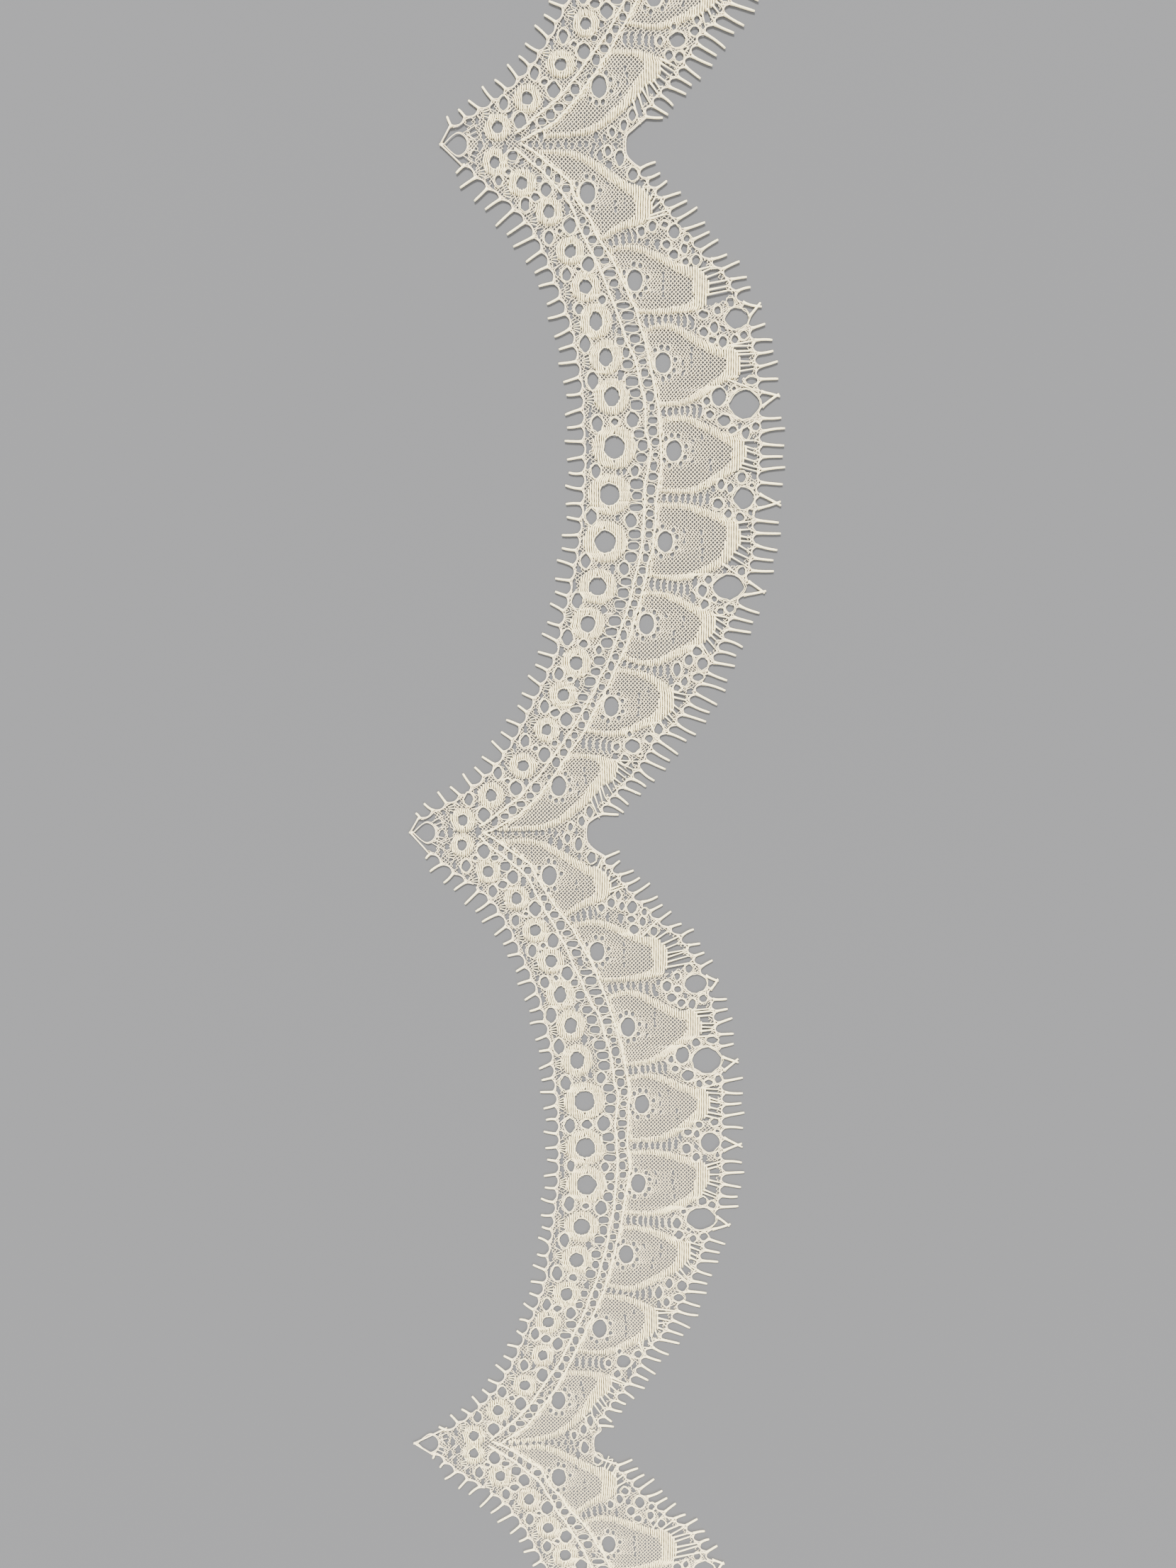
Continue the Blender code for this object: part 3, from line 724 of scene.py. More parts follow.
def unspread(x, rows, half):
    """Return where the threads at these places would lie if no gap held them apart."""
    offset = x[:, None] - rows[None, :, 0]
    fade = FADE[0] * rows[:, 2] + FADE[1]
    beyond = np.maximum(np.abs(offset) - half, 0.0)
    return x - (np.sign(offset) * half * np.exp(-beyond / fade)).sum(axis=1)


@functools.cache
def long_threads(pitch):
    """Return the x of each long thread in each row, and the rows' heights."""
    rows = openwork()
    heights = np.arange(BOTTOM + 0.12, TOP - 0.1, ROW)
    threads = np.arange(LEFT, RIGHT, pitch)
    limits = 0.5 * rows[:, 3] * stretches(rows)
    thresholds = np.empty(len(rows))
    for index, row in enumerate(rows):
        active = (np.abs(row[1] - rows[:, 1]) < limits) & (np.abs(rows[:, 0] - row[0]) < SIDE_REACH)
        active[index] = False
        others = rows[active]
        thresholds[index] = unspread(row[:1], others, half_widths(others, row[1] - others[:, 1]))[0]
    found = np.empty((len(threads), len(heights)))
    for column, height in enumerate(heights):
        active = np.flatnonzero(np.abs(height - rows[:, 1]) < limits)
        if not len(active):
            found[:, column] = threads
            continue
        active = active[np.argsort(rows[active, 0])]
        near = rows[active]
        half = half_widths(near, height - near[:, 1])
        side = np.maximum.accumulate(thresholds[active])
        belongs = np.searchsorted(side, threads)
        lows = np.concatenate([[LEFT - 1.0], near[:, 0] + half])
        highs = np.concatenate([near[:, 0] - half, [RIGHT + 1.0]])
        for span in np.unique(belongs):
            chosen = belongs == span
            low, high = lows[span], highs[span]
            if high - low < NARROW_SPAN:
                found[chosen, column] = 0.5 * (low + high)
                continue
            x = np.linspace(low, high, max(4, int((high - low) / SPAN_STEP)))
            close = np.abs(near[:, 0] - 0.5 * (low + high)) < SPAN_REACH + 0.5 * (high - low)
            found[chosen, column] = np.interp(threads[chosen], unspread(x, near[close], half[close]), x)
    return found, heights


# The spacing of two threads counts as at least this, in mm, and at most this
# many times their pitch.
LEAST_SPACING = 0.05
MOST_SPACING = 1.15


@functools.cache
def thread_points(pitch):
    """Return the x, y and spacing of every point of the long threads."""
    found, heights = long_threads(pitch)
    spacing = np.gradient(found, axis=0)
    y = np.broadcast_to(heights, found.shape)
    return found, y, np.clip(spacing, LEAST_SPACING, MOST_SPACING * pitch)


# How steeply the crown's depth grows away from its straight inner edge, and how
# sharply a border's own width turns into it.
CROWN_SLOPE = 0.55
CROWN_BLEND = 3.0
# Only points this near to a petal are looked at.
PETAL_MARGIN = 2.5


@functools.cache
def petal_depths(pitch):
    """Return each point's depth inside the nearest petal's outline, and the border's width there."""
    x, y, _ = thread_points(pitch)
    depth = np.full(x.shape, -9.0)
    border = np.ones(x.shape)
    for _, _, outline, widths, _, crown in petals():
        low, high = outline.min(axis=0) - PETAL_MARGIN, outline.max(axis=0) + PETAL_MARGIN
        near = (x > low[0]) & (x < high[0]) & (y > low[1]) & (y < high[1])
        points = np.stack([x[near], y[near]], axis=-1)
        if not len(points):
            continue
        found, width = depth_inside(points, outline, widths)
        straight = found + CROWN_SLOPE * (points[:, 0] - crown)
        crowned = np.exp(np.clip(CROWN_BLEND * straight, -9.0, 30.0))
        width = np.log(np.exp(CROWN_BLEND * width) + crowned) / CROWN_BLEND - 0.1
        better = found > depth[near]
        kept = depth[near]
        kept[better] = found[better]
        depth[near] = kept
        kept = border[near]
        kept[better] = width[better]
        border[near] = kept
    return depth, border


@functools.cache
def ring_depths(pitch):
    """Return each point's depth inside the nearest ring, and its distance outside the ring's hole."""
    x, y, _ = thread_points(pitch)
    outer = np.full(x.shape, -9.0)
    inner = np.full(x.shape, 9.0)
    for repeat in range(len(REPEATS)):
        for along, out, width, height, wide, high in ring_places(repeat):
            centre = place(repeat, along, out)
            near = (np.abs(x - centre[0]) < wide) & (np.abs(y - centre[1]) < high)
            if not near.any():
                continue
            across, up = x[near] - centre[0], y[near] - centre[1]
            to_edge = 1.0 - np.hypot(across / (0.5 * wide), up / (0.5 * high))
            to_hole = np.hypot(across / (0.5 * width), up / (0.5 * height)) - 1.0
            outer[near] = np.maximum(outer[near], to_edge * 0.25 * (wide + high))
            inner[near] = np.minimum(inner[near], to_hole * 0.25 * (width + height))
    return outer, inner


def scoop(repeat, along, threads, depth):
    """Return how far the net draws back from an edge between its clipped threads."""
    roots = np.array([thread[0] for thread in threads])
    if len(roots) < 2:
        return np.zeros(np.shape(along))
    fine = np.linspace(roots[0], roots[-1], 1200)
    away = np.abs(fine[:, None] - roots[None]).min(axis=1) / np.median(np.diff(roots))
    drawn = depth * np.sin(np.clip(away, 0.0, 0.5) * math.pi) ** 0.8
    return np.interp(along, fine, drawn, left=0.0, right=0.0)


# How far the net draws back between two clipped threads.
HEADING_SCOOP = 0.65
SCALLOP_SCOOP = 0.85
# The rounded notch and the open tip reach this far up and down from a corner.
CORNER_REACH = 2.6
# The open tip goes this far in from its point.
TIP_DEPTH = 4.2
# All that lies by the heading's tips has a smaller x than this.
HEADING_SIDE = -10.0


@functools.cache
def edge_depths(pitch):
    """Return how far inside the heading and the scalloped edge each point lies."""
    x, y, _ = thread_points(pitch)
    numbers, along, out = measures(x, y)
    heading = out - level(HEADING_EDGE, along)
    scallop = level(SCALLOP_EDGE, along) - out
    for repeat in range(len(REPEATS)):
        here = numbers == repeat
        heading[here] -= scoop(repeat, along[here], heading_threads(repeat), HEADING_SCOOP)
        scallop[here] -= scoop(repeat, along[here], scallop_threads(repeat), SCALLOP_SCOOP)
    for height, _, notch_x in CORNERS:
        near = (np.abs(y - height) < NOTCH_RADIUS) & (x > notch_x - 2.0)
        away = np.hypot(x - notch_x - NOTCH_RADIUS, y - height) - NOTCH_RADIUS
        scallop = np.where(near, np.minimum(scallop, away), scallop)
        facing = near & (np.abs(y - height) < CORNER_REACH) & (x < notch_x + NOTCH_RADIUS)
        scallop = np.where(facing, away + 0.25, scallop)
    for corner in range(len(CORNERS)):
        for start, end in tip_edges(corner):
            low, high = sorted((start[1], end[1]))
            near = (y >= low) & (y <= high) & (x < HEADING_SIDE)
            run = end - start
            beside = ((x - start[0]) * run[1] - (y - start[1]) * run[0]) / np.linalg.norm(run)
            heading = np.where(near, np.abs(beside) * np.sign(beside * run[1]), heading)
    for height, tip_x, _ in CORNERS:
        open_tip = (np.abs(y - height) < CORNER_REACH) & (x < tip_x + TIP_DEPTH)
        heading = np.where(open_tip, -1.0, heading)
    return heading, scallop


@functools.cache
def edge_of(repeat):
    """Return the scalloped edge's line, drawn back between its clipped threads."""
    along = np.linspace(0.1, 0.9, 1600)
    return along, level(SCALLOP_EDGE, along) - scoop(repeat, along, scallop_threads(repeat), SCALLOP_SCOOP)


@functools.cache
def bride_zone(pitch):
    """Return which points lie between a petal's crown and the scalloped edge band."""
    x, y, _ = thread_points(pitch)
    repeat, along, out = measures(x, y)
    zone = np.zeros(x.shape, bool)
    for number in range(len(REPEATS)):
        zone |= (repeat == number) & beyond_crowns(number, along, out)
    return zone


# Crossing threads lie a little above each other, in steps of this size.
LEVEL_STEP = 0.004


class Bundle:
    """Collects threads that lie nearly flat, and joins them into one mesh."""

    def __init__(self, sides=3):
        self.sides = sides
        self.points, self.widths, self.heights, self.levels, self.closed = [], [], [], [], []

    def add(self, points, width, height, at, closed=False):
        """Lay one thread: its points, half width, half height and the height of its middle, in mm."""
        points = np.asarray(points, float)
        if len(points) < 2:
            return
        count = len(points)
        self.points.append(points)
        self.widths.append(np.broadcast_to(width, count))
        self.heights.append(np.broadcast_to(height, count))
        self.levels.append(np.broadcast_to(at, count) + LEVEL_STEP * (len(self.points) * 7 % 11 - 5))
        self.closed.append(closed)

    def arrays(self):
        """Return the corners, the walls and the end caps of all threads."""
        sides = self.sides
        counts = np.array([len(points) for points in self.points])
        closed = np.array(self.closed)
        ends = np.cumsum(counts)
        starts = ends - counts
        points = np.concatenate(self.points)
        widths, heights = np.concatenate(self.widths), np.concatenate(self.heights)
        levels = np.concatenate(self.levels)
        index = np.arange(len(points))
        before, after = index - 1, index + 1
        before[starts] = np.where(closed, ends - 1, starts)
        after[ends - 1] = np.where(closed, starts, ends - 1)
        along = points[after] - points[before]
        along /= np.maximum(np.linalg.norm(along, axis=1), 1e-9)[:, None]
        across = np.stack([-along[:, 1], along[:, 0]], axis=1)
        turn = 2.0 * math.pi * (np.arange(sides) + 0.5) / sides + (0.5 * math.pi if sides % 2 else 0.0)
        turn = turn - (math.pi / sides if sides % 2 else 0.0)
        flat = points[:, None, :] + across[:, None, :] * (widths[:, None] * np.cos(turn))[..., None]
        rise = levels[:, None] + heights[:, None] * np.sin(turn)
        corners = np.concatenate([flat, rise[..., None]], axis=2).reshape(-1, 3)
        has_next = after != index
        base, following = index[has_next] * sides, after[has_next] * sides
        around = np.arange(sides)
        onward = (around + 1) % sides
        walls = np.stack([
            base[:, None] + around, base[:, None] + onward,
            following[:, None] + onward, following[:, None] + around], axis=2).reshape(-1, 4)
        first, last = starts[~closed] * sides, (ends[~closed] - 1) * sides
        caps = np.concatenate([first[:, None] + around[::-1], last[:, None] + around])
        step = np.linalg.norm(points - points[np.maximum(index - 1, 0)], axis=1)
        step[starts] = 0.0
        length = np.cumsum(step)
        return corners, walls, caps, length

    def finish(self, name, material):
        """Make the joined mesh as an object in the row frame, or join it to the piece of that name."""
        corners, walls, caps, length = self.arrays()
        corners = (corners - np.array([MIDDLE_X, MIDDLE_Y, 0.0])) * MM
        corners[:, 2] = np.maximum(corners[:, 2], 0.00001)
        mesh = bpy.data.meshes.new(name)
        loops = np.concatenate([walls.ravel(), caps.ravel()]).astype(np.int32)
        sizes = np.concatenate([np.full(len(walls), 4), np.full(len(caps), self.sides)])
        begins = (np.cumsum(sizes) - sizes).astype(np.int32)
        mesh.vertices.add(len(corners))
        mesh.vertices.foreach_set("co", corners.astype(np.float32).ravel())
        mesh.loops.add(len(loops))
        mesh.loops.foreach_set("vertex_index", loops)
        mesh.polygons.add(len(sizes))
        mesh.polygons.foreach_set("loop_start", begins)
        mesh.update(calc_edges=True)
        layer = mesh.uv_layers.new(name="thread")
        turn = (np.tile(np.array([0, 1, 1, 0]), len(walls)).reshape(-1, 4)
                + np.tile(np.arange(self.sides), len(walls) // self.sides)[:, None]) / self.sides
        run = length[walls // self.sides]
        chart = np.stack([run.ravel(), turn.ravel()], axis=1)
        ends = np.stack([length[caps // self.sides].ravel(), np.zeros(caps.size)], axis=1)
        layer.data.foreach_set("uv", np.concatenate([chart, ends]).astype(np.float32).ravel())
        mesh.validate()
        earlier = bpy.data.objects.get(name)
        made = bpy.data.objects.new(name, mesh)
        bpy.context.scene.collection.objects.link(made)
        made.data.materials.append(material)
        for item in bpy.context.selected_objects:
            item.select_set(False)
        made.select_set(True)
        bpy.context.view_layer.objects.active = made
        bpy.ops.object.shade_smooth()
        if earlier:
            earlier.select_set(True)
            bpy.context.view_layer.objects.active = earlier
            bpy.ops.object.join()
            earlier.select_set(False)
            return
        made.select_set(False)
        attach(made, "root")
        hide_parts(NODE)


def runs_inside(x, y, inside):
    """Split long threads into the runs that lie inside a region, ending at its edge."""
    for thread in range(x.shape[0]):
        depth = inside[thread]
        for first, stop in runs(depth > 0.0):
            points = np.stack([x[thread, first:stop], y[thread, first:stop]], axis=-1)
            rows = np.arange(first, stop, dtype=float)
            if first > 0:
                share = depth[first] / max(depth[first] - depth[first - 1], 1e-6)
                before = np.array([x[thread, first - 1], y[thread, first - 1]])
                start = points[0] + share * (before - points[0])
                points, rows = np.vstack([start, points]), np.concatenate([[first - share], rows])
            if stop < len(depth):
                share = depth[stop - 1] / max(depth[stop - 1] - depth[stop], 1e-6)
                after = np.array([x[thread, stop], y[thread, stop]])
                end = points[-1] + share * (after - points[-1])
                points, rows = np.vstack([points, end]), np.concatenate([rows, [stop - 1 + share]])
            if len(points) > 1:
                yield thread, rows, points


# A thread wanders from one random place to the next over this many rows.
WANDER_ROWS = 5


def wander(seed, shape, size):
    """Return smooth small differences for every point of the long threads."""
    draw = np.random.default_rng(seed)
    coarse = draw.normal(0.0, size, (shape[0], shape[1] // WANDER_ROWS + 2))
    rows = np.arange(shape[1]) / WANDER_ROWS
    low = rows.astype(int)
    share = rows - low
    return coarse[:, low] * (1.0 - share) + coarse[:, low + 1] * share


def kept_out(moved, x, y):
    """Push threads that sway into a gap back to its edge."""
    heights = y[0]
    for row in openwork():
        if row[4] == KINDS["ring"]:
            continue
        first, last = np.searchsorted(heights, [row[1] - 0.5 * row[3], row[1] + 0.5 * row[3]])
        if first == last:
            continue
        part, home = moved[:, first:last], x[:, first:last]
        rise = (heights[first:last] - row[1]) / (0.5 * row[3])
        half = 0.5 * row[2] * np.sqrt(np.maximum(0.0, 1.0 - rise ** 2))
        inside = np.abs(part - row[0]) < half
        edge = row[0] + np.where(home >= row[0], half, -half)
        moved[:, first:last] = np.where(inside, edge, part)
    return moved


# How far the threads of a net wander from their lines, in mm.
NET_WANDER = 0.03


def net_threads(bundle, x, y, spacing, inside, swing, width, seed):
    """Lay long threads that lean on their left and right neighbours in turn."""
    numbers = np.arange(x.shape[0])[:, None] + np.arange(x.shape[1])[None]
    sway = np.where(numbers % 2 == 0, 1.0, -1.0) * swing * spacing
    moved = kept_out(x + sway + wander(seed, x.shape, NET_WANDER), x, y)
    for thread, rows, points in runs_inside(moved, y, inside):
        bundle.add(points, width, FLATNESS * width, NET_LEVEL + 0.05 * (thread % 2))


# A thread counts as straight where it bends by less than this, in mm.
STRAIGHT = 0.018


def straightened(points, values):
    """Drop every second point of a thread where it runs straight, and its value too."""
    before, here, after = points[:-2], points[1:-1], points[2:]
    run = after - before
    away = np.abs(run[:, 0] * (here - before)[:, 1] - run[:, 1] * (here - before)[:, 0])
    away /= np.maximum(np.linalg.norm(run, axis=1), 1e-6)
    keep = np.ones(len(points), bool)
    keep[1:-1] = (away > STRAIGHT) | (np.arange(1, len(points) - 1) % 2 == 0)
    return points[keep], values[keep]


# How thick a strand is, and how its width swells and thins in turn.
STRAND_HALF = 0.52
STRAND_SWELL = 0.11
# The spacing that a strand's width follows stays between these.
STRAND_GAUGES = (0.16, 0.4)
# Half a strand's height, how far it wanders, the least length it has, and how far
# its ends reach beyond the dense part, at random.
STRAND_RISE = 0.17
STRAND_WANDER = 0.015
LEAST_STRAND = 0.3
STRAND_REACH = (-0.09, 0.1)


def strand_threads(bundle, x, y, spacing, inside, seed):
    """Lay the thick side by side strands of the dense parts."""
    draw = np.random.default_rng(seed)
    moved = x + wander(seed, x.shape, STRAND_WANDER)
    for thread, rows, points in runs_inside(moved, y, inside):
        if points[-1, 1] - points[0, 1] < LEAST_STRAND:
            continue
        gauge = np.interp(rows, np.arange(spacing.shape[1]), spacing[thread])
        half = STRAND_HALF * np.clip(gauge, *STRAND_GAUGES)
        reach = draw.uniform(*STRAND_REACH, 2)
        points = points.copy()
        points[0, 1] -= reach[0]
        points[-1, 1] += reach[1]
        points, half = straightened(points, half)
        half = half * (1.0 + STRAND_SWELL * np.cos(math.pi * (np.arange(len(half)) + thread)))
        half[[0, -1]] *= 0.7
        bundle.add(points, half, STRAND_RISE, STRAND_LEVEL + 0.04 * (thread % 2))


# Finishes

def thread_finish_group():
    """Return the node group that gives a twisted cotton thread its colour, gloss and relief: the colour
    mixes towards the shade colour at random, as real tone, and in the grooves between the plies, as painted
    shade.
    """
    group = bpy.data.node_groups.new("cotton_thread", "ShaderNodeTree")
    for way, names in (("INPUT", "Colour Shade Twist"), ("OUTPUT", "Colour Roughness Height")):
        for name in names.split():
            kind = "NodeSocketColor" if name in ("Colour", "Shade") else "NodeSocketFloat"
            group.interface.new_socket(name=name, in_out=way, socket_type=kind)
    nodes, links = group.nodes, group.links
    given, result = nodes.new("NodeGroupInput"), nodes.new("NodeGroupOutput")
    place_on, chart = nodes.new("ShaderNodeTexCoord"), nodes.new("ShaderNodeMapping")
    cloud, fibre = nodes.new("ShaderNodeTexNoise"), nodes.new("ShaderNodeTexNoise")
    for noise, scale, detail in ((cloud, 140.0, 4.0), (fibre, 5200.0, 3.0)):
        noise.inputs["Scale"].default_value = scale
        noise.inputs["Detail"].default_value = detail
        links.new(place_on.outputs["Object"], noise.inputs["Vector"])
    chart.inputs["Scale"].default_value = (3.2, 1.0, 1.0)
    # A wave along the thread's chart marks the grooves between its plies: it dents the relief, and darkens
    # the colour there as painted shade.
    ply_groove_shade_and_relief = nodes.new("ShaderNodeTexWave")
    ply_groove_shade_and_relief.bands_direction = "DIAGONAL"
    ply_groove_shade_and_relief.inputs["Scale"].default_value = 0.32
    ply_groove_shade_and_relief.inputs["Distortion"].default_value = 0.6
    links.new(place_on.outputs["UV"], chart.inputs["Vector"])
    links.new(chart.outputs["Vector"], ply_groove_shade_and_relief.inputs["Vector"])
    # Next the ply grooves at their asked depth, then the colour's mix, which is random tone plus painted
    # shade in the grooves, and the relief, which is the fibres plus the grooves.
    wound, tone_and_groove_shade, relief = (nodes.new("ShaderNodeMath") for _ in range(3))
    wound.operation = "MULTIPLY"
    links.new(ply_groove_shade_and_relief.outputs["Fac"], wound.inputs[0])
    links.new(given.outputs["Twist"], wound.inputs[1])
    for sum_of, source, share in ((tone_and_groove_shade, cloud, 0.55), (relief, fibre, 0.35)):
        sum_of.operation = "MULTIPLY_ADD"
        sum_of.inputs[1].default_value = share
        links.new(source.outputs["Fac"], sum_of.inputs[0])
        links.new(wound.outputs["Value"], sum_of.inputs[2])
    mix = nodes.new("ShaderNodeMix")
    mix.data_type = "RGBA"
    links.new(tone_and_groove_shade.outputs["Value"], mix.inputs["Factor"])
    links.new(given.outputs["Shade"], mix.inputs["A"])
    links.new(given.outputs["Colour"], mix.inputs["B"])
    rough = nodes.new("ShaderNodeMapRange")
    rough.inputs["To Min"].default_value = 0.72
    rough.inputs["To Max"].default_value = 0.92
    links.new(fibre.outputs["Fac"], rough.inputs["Value"])
    links.new(mix.outputs["Result"], result.inputs["Colour"])
    links.new(rough.outputs["Result"], result.inputs["Roughness"])
    links.new(relief.outputs["Value"], result.inputs["Height"])
    return group


def thread_material(name, colour, shade, ply_groove_shade_and_relief):
    """Return a cotton finish for one kind of thread; the last argument sets how deep its ply grooves are, in
    the relief and in the painted shade.
    """
    group = bpy.data.node_groups.get("cotton_thread") or thread_finish_group()
    material = bpy.data.materials.new(name)
    material.use_nodes = True
    nodes, links = material.node_tree.nodes, material.node_tree.links
    shader = nodes["Principled BSDF"]
    finish = nodes.new("ShaderNodeGroup")
    finish.node_tree = group
    finish.inputs["Colour"].default_value = (*colour, 1.0)
    finish.inputs["Shade"].default_value = (*shade, 1.0)
    finish.inputs["Twist"].default_value = ply_groove_shade_and_relief
    relief = nodes.new("ShaderNodeBump")
    relief.inputs["Strength"].default_value = 0.5
    relief.inputs["Distance"].default_value = 0.00004
    links.new(finish.outputs["Colour"], shader.inputs["Base Color"])
    links.new(finish.outputs["Roughness"], shader.inputs["Roughness"])
    links.new(finish.outputs["Height"], relief.inputs["Height"])
    links.new(relief.outputs["Normal"], shader.inputs["Normal"])
    shader.inputs["Metallic"].default_value = 0.0
    shader.inputs["Specular IOR Level"].default_value = 0.35
    shader.inputs["Sheen Weight"].default_value = 0.12
    return material


def settings():
    return bpy.context.scene.lace_edging_settings


# The last number sets how deep the ply grooves are, in the relief and in the painted shade.
def cloth_finish():
    wanted = settings()
    return bpy.data.materials.get("ivory_cloth") or thread_material(
        "ivory_cloth", wanted.cloth_colour, wanted.shade_colour, 0.35)


def net_finish():
    wanted = settings()
    return bpy.data.materials.get("ivory_net") or thread_material(
        "ivory_net", wanted.net_colour, wanted.shade_colour, 0.3)


# The pieces

def nets_in_halves(name, pitch, inside, swing, seed):
    """Lay a fine net in two meshes, the upper and the lower half."""
    x, y, spacing = thread_points(pitch)
    half = 0.5 * settings().net_width / MM
    for part, low, high in (("upper", CORNERS[1][0], TOP), ("lower", BOTTOM, CORNERS[1][0])):
        bundle = Bundle()
        chosen = np.where((y > low) & (y <= high), inside, -1.0)
        net_threads(bundle, x, y, spacing, chosen, swing, half, seed)
        bundle.finish(name + "_" + part, net_finish())


class LaceSettings(bpy.types.PropertyGroup):
    cloth_colour: bpy.props.FloatVectorProperty(
        name="Strand colour", description="Colour of the dense parts", subtype="COLOR",
        default=(0.94, 0.855, 0.46), min=0.0, max=1.0)
    net_colour: bpy.props.FloatVectorProperty(
        name="Net colour", description="Colour of the fine threads", subtype="COLOR",
        default=(0.90, 0.80, 0.52), min=0.0, max=1.0)
    # The shade colour is mixed in at random, as real tone, and in the grooves between the plies, as painted
    # shade.
    shade_colour: bpy.props.FloatVectorProperty(
        name="Shade", description="Darker colour between the fibres", subtype="COLOR",
        default=(0.74, 0.61, 0.38), min=0.0, max=1.0)
    floor_colour: bpy.props.FloatVectorProperty(
        name="Floor colour", description="Colour of the plain floor", subtype="COLOR",
        default=(0.068, 0.068, 0.0695), min=0.0, max=1.0)
    net_width: bpy.props.FloatProperty(
        name="Net thread", description="Width of the fine threads", default=0.00017,
        min=0.00005, max=0.0004, unit="LENGTH", precision=5)
    cord_width: bpy.props.FloatProperty(
        name="Cord", description="Width of the cords and clipped threads", default=0.0004,
        min=0.0002, max=0.001, unit="LENGTH", precision=5)
    petal_pitch: bpy.props.FloatProperty(
        name="Petal net pitch", description="Distance between the threads of the petals' net",
        default=0.00031, min=0.0002, max=0.0006, unit="LENGTH", precision=5)


# How far the threads of a petal's net sway, against their spacing, and how far the
# net reaches under the petal's border.
PETAL_SWING = 0.44
NET_OVERLAP = 0.15


class LACE_OT_petal_nets(bpy.types.Operator):
    """Lay the sheer diamond net inside the petals"""
    bl_idname = "lace.petal_nets"
    bl_label = "Petal nets"

    def execute(self, context):
        pitch = round(settings().petal_pitch / MM, 4)
        depth, border = petal_depths(pitch)
        inside = depth - border + NET_OVERLAP
        nets_in_halves("petal_nets", pitch, inside, PETAL_SWING, SEEDS["petal_nets"])
        return {"FINISHED"}


# How much wider the ground's threads lie apart than those of the petals' nets.
GROUND_COARSER = 1.3
GROUND_SWING = 0.42
# The ground stops this far short of the heading's edge and of the scalloped edge.
GROUND_SHORT = (0.2, 0.35)
# The ground closes the places of the bars this near to a cut end.
UNBARRED = 3.0


class LACE_OT_ground(bpy.types.Operator):
    """Lay the fine threads of the ground between the rings, petals and edges"""
    bl_idname = "lace.ground"
    bl_label = "Ground"

    def execute(self, context):
        pitch = round(GROUND_COARSER * settings().petal_pitch / MM, 4)
        _, y, _ = thread_points(pitch)
        depth, _ = petal_depths(pitch)
        outer, _ = ring_depths(pitch)
        heading, scallop = edge_depths(pitch)
        short = heading - GROUND_SHORT[0], scallop - GROUND_SHORT[1]
        inside = np.minimum.reduce([-depth, -outer, *short])
        barred = bride_zone(pitch) & (scallop > BAND) & (y > BOTTOM + UNBARRED) & (y < TOP - UNBARRED)
        inside = np.where(barred, -0.2, inside)
        nets_in_halves("ground", pitch, inside, GROUND_SWING, SEEDS["ground"])
        return {"FINISHED"}


# How far apart the strands of the dense parts lie.
CLOTH_PITCH = 0.37


def strands(inside, seed):
    """Lay strands wherever this is more than nothing, and join them to the cloth."""
    bundle = Bundle()
    strand_threads(bundle, *thread_points(CLOTH_PITCH), inside, seed)
    bundle.finish(CLOTH, cloth_finish())


class LACE_OT_petal_borders(bpy.types.Operator):
    """Lay the dense borders of the petals"""
    bl_idname = "lace.petal_borders"
    bl_label = "Petal borders"

    def execute(self, context):
        depth, border = petal_depths(CLOTH_PITCH)
        strands(np.minimum(depth, border - depth), SEEDS["borders"])
        return {"FINISHED"}


class LACE_OT_rings(bpy.types.Operator):
    """Lay the dense rings"""
    bl_idname = "lace.rings"
    bl_label = "Rings"

    def execute(self, context):
        strands(np.minimum(*ring_depths(CLOTH_PITCH)), SEEDS["rings"])
        return {"FINISHED"}


# How square a loop is: a lower power makes it squarer, a higher one more pointed.
LOOP_POWERS = {"ladder": 0.78, "leaf": 1.2, "gap": 1.15}


def superellipse(row, grow, count):
    """Return a loop just outside a gap."""
    turn = 2.0 * math.pi * np.arange(count) / count
    power = LOOP_POWERS.get(NAMES[int(row[4])], 1.0)
    cosine, sine = np.cos(turn), np.sin(turn)
    across = np.sign(cosine) * np.abs(cosine) ** power * (0.5 * row[2] + grow)
    up = np.sign(sine) * np.abs(sine) ** power * (0.5 * row[3] + grow)
    return np.stack([row[0] + across, row[1] + up], axis=1)


# How thick the loop round each kind of gap is. Gaps of the other kinds have none.
LOOP_HALVES = {"gap": 0.075, "ladder": 0.08, "petal": 0.11, "eyelet": 0.055, "ring": 0.11, "leaf": 0.08}


# How many corners a loop has where its gap is larger than this, and round an eyelet.
LOOP_CORNERS = ((3.4, 22), (2.3, 16), (0.0, 10))
EYELET_CORNERS = 8
# How far outside its gap a loop lies. Gaps and leaves have these two loops, and the
# others have one, at this share of its own half width.
DOUBLE_LOOP = (0.05, 0.2)
SINGLE_LOOP = 0.7
# How far a loop's corners stray, for the coarser loops and for the others.
LOOP_STRAY = (0.06, 0.04)


